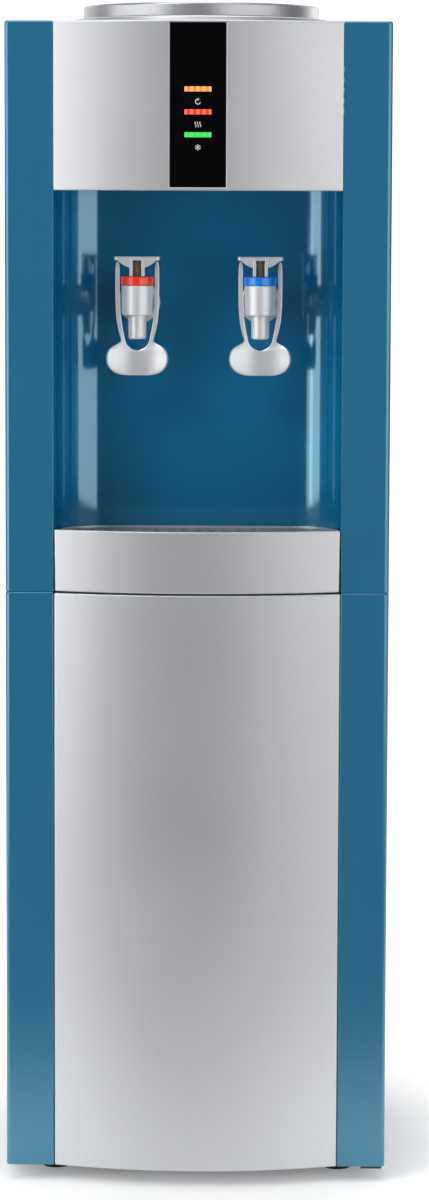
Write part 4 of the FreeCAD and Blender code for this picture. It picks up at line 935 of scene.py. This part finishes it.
def make_top_cover():
    """The deck round the collar, with its low flange."""
    half, split, rear = 151.7, -99.7, 137.4
    deck = start_point("deck", -SILVER_HALF, split, COVER_SEAT)
    trace_bow(SILVER_HALF, UNDER_SKIN, split, 48)
    trace_steps((half - SILVER_HALF, 0), (0, rear - split), (-2 * half, 0), (0, split - rear))
    raised(MOULDED_WALL)
    begin()
    bpy.ops.mesh.primitive_cylinder_add(vertices=TOP_SIDES, radius=96.0 * MM, depth=20.0 * MM,
                                        location=mm(0, 0, COVER_SEAT + 1.5))
    cut_with(deck, named("bore_cutter"))
    soften(deck, 0.5, 2)
    foot = (111.0, COVER_SEAT + 0.4)
    rings = [foot, (112.0, 943.2), (109.6, 944.4)]
    rings += quarter(106.3, FLANGE_TOP - 2.5, 2.2, 0, 90)
    rings += [(98.6, FLANGE_TOP), (94.8, FLANGE_TOP), (94.2, FLANGE_TOP - 0.5), (94.2, foot[1]),
              foot]
    flange = turned("flange", (0, 0, 0), rings, TOP_SIDES)
    piece = join("top_cover_shell", [deck, flange])
    smooth(piece, 35)
    dress(piece, "cabinet", "silver_paint", "top_cover")


# Control strip and lamps

def make_control_strip():
    """The black strip behind the head's skin, and one lamp bar that is copied for each lamp."""
    strip_inset, lamp_inset = 0.4, 0.2
    piece = bowed_sheet("control_strip_shell", STRIP_HALF, strip_inset, STRIP_LOW, STRIP_TOP, 24)
    wall(piece, MOULDED_WALL - strip_inset)
    soften(piece, 0.3, 2)
    smooth(piece)
    dress(piece, "cabinet", "black_gloss", "control_strip")
    bar = bowed_sheet("lens_bar", LAMP_HALF_WIDTH, lamp_inset, LAMP_LEVEL - LAMP_HALF_HEIGHT,
                      LAMP_LEVEL + LAMP_HALF_HEIGHT, 16)
    wall(bar, MOULDED_WALL - lamp_inset)
    soften(bar, 0.5, 3)
    smooth(bar)
    for step, (name, slot) in enumerate(LAMPS):
        lens = copied(bar, name + "_lens_bar", 0, 0, -step * LAMP_STEP)
        dress(lens, "cabinet", slot, name + "_lens")
    bpy.data.objects.remove(bar)


# Pictograms under the lamps: a switch ring, heat waves and a snow crystal

MARK_Y = -159.72
MARK_DROP = 9.9


def stroke(name, x, z, width, steps):
    """A level edge drawn along in small steps."""
    piece = start_point(name, x, 0, z)
    trace(width, 0, 0)
    take_all()
    for dx, dz in steps:
        draw_out(dx, 0, dz)
    close_up()
    return piece


def printed(name, strokes, lamp):
    """Joins flat strokes, gives them their thickness and puts them under a lamp."""
    for part in strokes:
        face_towards(part, *VIEWER)
    piece = join(name, strokes)
    wall(piece, 0.25)
    edit(piece)
    take_all()
    move(0, MARK_Y, LAMP_LEVEL - lamp * LAMP_STEP - MARK_DROP)
    leave()
    dress(piece, "cabinet", "liner_white", finish=print_white)


def make_crystal_arm(degrees):
    """An arm with two barbs, turned about the crystal's centre."""
    strokes = [stroke("arm", -0.2, 0.1, 0.4, [(0, 2.3)])]
    strokes += [stroke("barb", -0.15, 1.35, 0.3, [(side * 0.7, 0.7)]) for side in (-1, 1)]
    arm = join("arm", strokes)
    edit(arm)
    take_all()
    bpy.ops.transform.rotate(value=math.radians(degrees), orient_axis="Y",
                             center_override=(0, 0, 0))
    close_up()
    return arm


def make_pictograms():
    inner, width, half_gap = 1.75, 0.5, 0.6
    across, up = math.sin(half_gap), math.cos(half_gap)
    ring = start_point("switch_ring", inner * across, 0, inner * up)
    trace(width * across, 0, width * up)
    take_all()
    bpy.ops.mesh.spin(steps=40, angle=2 * (math.pi - half_gap), center=(0, 0, 0), axis=(0, 1, 0))
    close_up()
    bar = stroke("switch_bar", -width / 2, 0.5, width, [(0, 2.1)])
    printed("power_mark", [ring, bar], 0)

    sway = [0.45 * math.sin(step * math.pi / 6) for step in range(13)]
    rises = [(b - a, 0.37) for a, b in zip(sway, sway[1:])]
    waves = [stroke("wave", x - width / 2, -2.2, width, rises) for x in (-1.9, 0.0, 1.9)]
    printed("heat_mark", waves, 1)

    printed("cold_mark", [make_crystal_arm(turn * 60) for turn in range(6)], 2)


# Taps

def make_tap_body(name, x):
    """The cup, the barrel to the wall and the shank behind it."""
    rings = [(5.0, 712.0), (5.0, 689.3), (5.5, 688.6), (6.4, 688.5), (7.1, 689.2), (7.3, 690.2),
             (7.6, 706.8), (8.0, 707.5), (8.6, 707.7), (11.4, 707.7), (12.1, 708.0), (12.4, 708.8),
             (13.0, 731.0), (12.7, 731.7), (12.0, 732.0), (9.0, 732.0)]
    cup = turned(name + "_cup", (x, TAP_Y, 0), rings, TAP_SIDES)
    rings = [(12.6, -93.0), (13.2, -92.4), (13.2, -51.4), (13.8, -50.4), (15.6, -50.0),
             (16.8, -49.4), (17.2, -48.2), (17.4, NICHE_REAR)]
    barrel = turned(name + "_barrel", (x, 0, BARREL_Z), rings, TAP_SIDES, axis="Y", cap=True)
    rings = [(8.0, NICHE_REAR), (8.0, -21.4), (7.4, -21.0), (4.5, -21.0), (4.5, -30.0)]
    shank = turned(name + "_shank", (x, 0, BARREL_Z), rings, 48, axis="Y")
    piece = join(name + "_tap_body_shell", [cup, barrel, shank])
    smooth(piece, 35)
    dress(piece, "cabinet", "tap_silver", name + "_tap_body")


def make_tap_cap(name, x, slot):
    """The coloured ring that closes the cup."""
    rings = [(9.7, 728.0), (9.7, 732.0), (12.8, 732.0), (13.3, 732.3), (13.4, 732.8)]
    rings += quarter(12.2, 738.0, 1.2, 0, 90)
    rings += [(4.4, 739.2), (3.3, 738.8), (3.1, 738.0), (3.1, 733.0)]
    piece = turned(name + "_tap_ring", (x, TAP_Y, 0), rings, TAP_SIDES)
    smooth(piece, 35)
    dress(piece, "cabinet", slot, name + "_tap_cap")


# Half of the lever's loop and paddle, from the bar down: places of its inner and outer edge,
# across from the middle and up from the paddle's foot
LEVER_STATIONS = (
    ((14.2, 93.4), (17.8, 93.4)), ((14.2, 80.0), (17.8, 80.0)), ((14.2, 66.0), (17.8, 66.0)),
    ((14.0, 56.0), (17.7, 57.0)), ((13.3, 48.0), (17.2, 48.5)), ((12.5, 41.5), (16.4, 41.5)),
    ((11.6, 35.5), (15.2, 35.5)), ((10.4, 30.0), (13.9, 31.0)), ((9.9, 26.4), (12.8, 27.6)),
    ((8.2, 23.8), (14.6, 26.0)), ((5.6, 21.6), (18.6, 24.4)), ((2.8, 20.2), (22.8, 22.0)),
    ((0.0, 19.8), (25.4, 18.4)), ((0.0, 14.6), (26.5, 13.2)), ((0.0, 8.6), (25.2, 7.6)),
    ((0.0, 5.0), (21.8, 3.2)), ((0.0, 2.4), (16.4, 0.5)), ((0.0, -0.2), (11.0, -0.3)),
)
# The paddle is bent round the tap's axis; the bend fades out in the arms between these heights
PADDLE_BEND = -56.0
BEND_FADE = (21.0, 44.0)
LEVER_THICKNESS = 3.6
BAR_LOW = 93.0
BAR_TOP = 96.2


def make_lever_loop():
    """The half ribbon is drawn down by stations, mirrored, smoothed, bent and thickened."""
    (x, z), (x2, z2) = LEVER_STATIONS[0]
    piece = start_point("lever_loop", x, 0, z)
    trace(x2 - x, 0, z2 - z)
    take_all()

    def pick_places(*places):
        spots = [Vector(mm(across, 0, up)) for across, up in places]
        pick(piece, "VERT", lambda v: min((v.co - spot).length for spot in spots) < 1e-6)

    for (inner, outer), (new_inner, new_outer) in zip(LEVER_STATIONS, LEVER_STATIONS[1:]):
        across, up = new_inner[0] - inner[0], new_inner[1] - inner[1]
        draw_out(across, 0, up)
        drawn = (outer[0] + across, outer[1] + up)
        pick_places(drawn)
        move(new_outer[0] - drawn[0], 0, new_outer[1] - drawn[1])
        pick_places(new_inner, new_outer)
    leave()
    apply(piece, "MIRROR", use_axis=(True, False, False), merge_threshold=0.01 * MM)
    apply(piece, "SUBSURF", levels=1, render_levels=1, boundary_smooth="ALL")
    face_towards(piece, *VIEWER)
    paddle = piece.vertex_groups.new(name="paddle")
    low, high = BEND_FADE
    for point in piece.data.vertices:
        share = min(1.0, max(0.0, (high - point.co.z / MM) / (high - low)))
        paddle.add([point.index], share, "REPLACE")
    apply(piece, "SIMPLE_DEFORM", deform_method="BEND", deform_axis="Z",
          angle=math.radians(PADDLE_BEND), vertex_group="paddle")
    apply(piece, "SOLIDIFY", thickness=LEVER_THICKNESS * MM, offset=0.0, edge_crease_inner=0.45,
          edge_crease_outer=0.45)
    apply(piece, "SUBSURF", levels=2, render_levels=2)
    return piece


def make_lever():
    """The loop, the bar across its top, and a post with a curved web on either side."""
    loop = make_lever_loop()
    bar = slab("lever_bar", (-18.5, 18.5), (-10.5, 4.0), (BAR_LOW, BAR_TOP))
    edit(bar)
    pick(bar, "EDGE", lambda e: abs(e.verts[0].co.z - e.verts[1].co.z) > 1 * MM)
    bpy.ops.mesh.bevel(offset=2.4 * MM, segments=5, affect="EDGES")
    leave()
    soften(bar, 0.7, 3)

    post_x, web_x, web_y, web_radius, web_centre = 3.5, 16.0, -10.1, 21.79, BAR_LOW + 14.79
    web = start_point("lever_web", post_x, web_y, BAR_LOW + 0.4)
    trace(web_x - post_x, 0, 0)
    turn = math.asin(web_x / web_radius) - math.asin(post_x / web_radius)
    bpy.ops.mesh.spin(steps=12, angle=-turn, center=mm(0, web_y, web_centre), axis=(0, 1, 0))
    fill_outline()
    draw_out(0, 2.5, 0)
    close_up()
    soften(web, 0.3, 2)
    post = slab("lever_post", (post_x, post_x + 2.6), (-11.5, 4.0), (80.0, BAR_TOP - 0.5), 0.6, 3)
    side = join("lever_side", [web, post])
    other = mirrored(side, "lever_other_side")
    lever = join("lever", [loop, bar, side, other])
    return smooth(lever)


def make_taps():
    """Both taps; one lever is modelled and copied to each."""
    lever = make_lever()
    for name, x, slot in (("hot", -TAP_X, "tap_red"), ("cold", TAP_X, "tap_blue")):
        make_tap_body(name, x)
        make_tap_cap(name, x, slot)
        grip = copied(lever, name + "_tap_grip", x, TAP_Y, PADDLE_LOW)
        dress(grip, name + "_lever", "lever_grey", name + "_tap_lever")
    bpy.data.objects.remove(lever)


def make_tap_springs():
    """Softened copies of the valve springs, each with a mesh of its own; on the real taps they
    shorten towards their upper ends as the stems lift.
    """
    for name in ("hot", "cold"):
        node = name + "_tap_spring"
        piece = softened(node, 0.1, 4.0)
        dress(piece, "cabinet", node_slot[node], node)
        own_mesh(piece)


soften_boxy_parts()
make_head_panel()
make_door_panel()
make_front_frame()
make_door_frame()
make_niche()
make_drip_tray()
make_bottle_collar()
make_top_cover()
make_control_strip()
make_pictograms()
make_taps()
make_tap_springs()


# Stage: floor, backdrop, soft boxes and camera, in metres

STAGE_SIZE = 9
PAPER = (0.90, 0.90, 0.90)
PAPER_GLOW = 0.80
# The floor glows less close to the part, a painted shade round its foot that also lets the real
# shadow show: its least glow, how far it reaches, and how much narrower it is across than in depth
SHADE_GLOW = 0.17
SHADE_REACH = (0.14, 0.60)
SHADE_SHAPE = (1.8, 1.0, 1.0)
# Where the floor in front turns dark in reflections; the backdrop never does
DARK_PAPER = (0.05, 0.05, 0.05)
FLOOR_FADE = (-0.18, -0.80)
NO_FADE = (-8.0, -9.0)
SOFT_BOXES = (
    ("left_soft_box", (-1.62, -1.00, 0.66), (0, 0, 0.48), 1.5, 1.6, 16.5),
    ("right_soft_box", (1.85, -1.72, 0.74), (0, 0, 0.50), 3.0, 1.9, 30),
    ("top_soft_box", (0.0, -0.3, 2.8), (0, 0, 0.4), 1.8, 1.8, 28),
    ("front_soft_box", (-1.50, -2.2, 2.5), (0, 0, 0.5), 1.0, 1.0, 26),
    ("low_soft_box", (-1.55, -2.0, 0.42), (0, 0, 0.42), 0.7, 0.6, 2),
    ("left_collar_strip", (-1.75, -0.06, 1.15), (0, 0, 0.95), 0.40, 0.5, 1.8),
    ("rear_collar_strip", (1.25, 1.5, 1.15), (0, 0, 0.95), 0.40, 0.5, 1.8),
)
CAMERA_PLACE = (0.0544, -3.189, 0.8065)
CAMERA_YAW, CAMERA_PITCH, CAMERA_ROLL = -0.0132, 0.1067, -0.0033
CAMERA_LENS = 113.93


def studio_paper(name, near_glow, fade):
    """Paper that is white to the eye and in gloss, but lights the part as plain paper does."""
    paper = Finish(name, PAPER, 0.9)
    tree = paper.tree
    seen = tree.nodes.new("ShaderNodeLightPath").outputs
    place = tree.nodes.new("ShaderNodeTexCoord").outputs["Object"]
    parts = tree.nodes.new("ShaderNodeSeparateXYZ")
    tree.links.new(place, parts.inputs["Vector"])
    far = ramp(tree, parts.outputs["Y"], fade, (0.0, 1.0), "SMOOTHSTEP")
    hidden = reckon(tree, "MULTIPLY", far, seen["Is Glossy Ray"])
    paper.feed(blend(tree, hidden, PAPER, DARK_PAPER), "Base Color")

    eye = reckon(tree, "MAXIMUM", seen["Is Camera Ray"], seen["Is Glossy Ray"])
    eye = reckon(tree, "MAXIMUM", eye, seen["Is Transmission Ray"])
    eye = reckon(tree, "MULTIPLY", eye, reckon(tree, "SUBTRACT", 1.0, hidden))
    distance = tree.nodes.new("ShaderNodeVectorMath")
    distance.operation = "LENGTH"
    tree.links.new(stretch(tree, place, SHADE_SHAPE), distance.inputs[0])
    # Painted shade: the glow falls to its least near the part, darkening the floor round its foot
    glow = ramp(tree, distance.outputs["Value"], SHADE_REACH, (near_glow, PAPER_GLOW), "SMOOTHSTEP")
    paper.feed((1, 1, 1), "Emission Color")
    paper.feed(reckon(tree, "MULTIPLY", eye, glow), "Emission Strength")
    return paper


def clear_from_behind(paper):
    """Lets a camera behind the backdrop see through it."""
    tree = paper.tree
    either = tree.nodes.new("ShaderNodeMixShader")
    for output, socket in (
        (tree.nodes.new("ShaderNodeNewGeometry").outputs["Backfacing"], either.inputs[0]),
        (paper.shader.outputs[0], either.inputs[1]),
        (tree.nodes.new("ShaderNodeBsdfTransparent").outputs[0], either.inputs[2]),
        (either.outputs[0], tree.nodes["Material Output"].inputs["Surface"]),
    ):
        tree.links.new(output, socket)


def make_sheet(name, paper, place, turn):
    begin()
    bpy.ops.mesh.primitive_plane_add(size=STAGE_SIZE, location=place, rotation=turn)
    sheet = rename(bpy.context.object, name)
    sheet.data.materials.append(paper.material)


def make_stage():
    """Pale floor and backdrop."""
    make_sheet("floor", studio_paper("pale_floor", SHADE_GLOW, FLOOR_FADE), (0, 0, 0), (0, 0, 0))
    backdrop = studio_paper("pale_backdrop", PAPER_GLOW, NO_FADE)
    clear_from_behind(backdrop)
    make_sheet("backdrop", backdrop, (0, 2.6, 3.0), (math.pi / 2, 0, 0))


def make_world():
    """A dim room that is white to the eye."""
    scene.world = bpy.data.worlds.new("studio")
    scene.world.use_nodes = True
    tree = scene.world.node_tree
    room = tree.nodes["Background"]
    white = tree.nodes.new("ShaderNodeBackground")
    for light, colour, strength in ((room, (0.95, 0.97, 1.0), 0.06), (white, (1, 1, 1), 1.0)):
        feed(tree, colour, light.inputs["Color"])
        feed(tree, strength, light.inputs["Strength"])
    seen = tree.nodes.new("ShaderNodeLightPath")
    either = tree.nodes.new("ShaderNodeMixShader")
    tree.links.new(seen.outputs["Is Camera Ray"], either.inputs[0])
    tree.links.new(room.outputs[0], either.inputs[1])
    tree.links.new(white.outputs[0], either.inputs[2])
    tree.links.new(either.outputs[0], tree.nodes["World Output"].inputs["Surface"])


def make_soft_box(name, place, aim, width, height, power):
    begin()
    bpy.ops.object.light_add(type="AREA", location=place)
    lamp = bpy.context.object
    lamp.name = name
    lamp.data.shape = "RECTANGLE"
    lamp.data.size = width
    lamp.data.size_y = height
    lamp.data.energy = power
    lamp.rotation_euler = (Vector(aim) - Vector(place)).to_track_quat("-Z", "Y").to_euler()


def make_camera():
    """Looks along +Y, turned by its yaw, tipped down by its pitch and rolled."""
    begin()
    sin_yaw, cos_yaw = math.sin(CAMERA_YAW), math.cos(CAMERA_YAW)
    sin_pitch, cos_pitch = math.sin(CAMERA_PITCH), math.cos(CAMERA_PITCH)
    sin_roll, cos_roll = math.sin(CAMERA_ROLL), math.cos(CAMERA_ROLL)
    back = Vector((-cos_pitch * sin_yaw, -cos_pitch * cos_yaw, sin_pitch))
    level = Vector((cos_yaw, -sin_yaw, 0))
    rise = Vector((sin_pitch * sin_yaw, sin_pitch * cos_yaw, cos_pitch))
    right = cos_roll * level - sin_roll * rise
    up = sin_roll * level + cos_roll * rise
    bpy.ops.object.camera_add()
    camera = bpy.context.object
    camera.data.lens = CAMERA_LENS
    camera.data.sensor_width = 36.0
    turn = Matrix((right, up, back)).transposed().to_4x4()
    camera.matrix_world = Matrix.Translation(CAMERA_PLACE) @ turn
    scene.camera = camera


make_stage()
for soft_box in SOFT_BOXES:
    make_soft_box(*soft_box)
make_world()
make_camera()
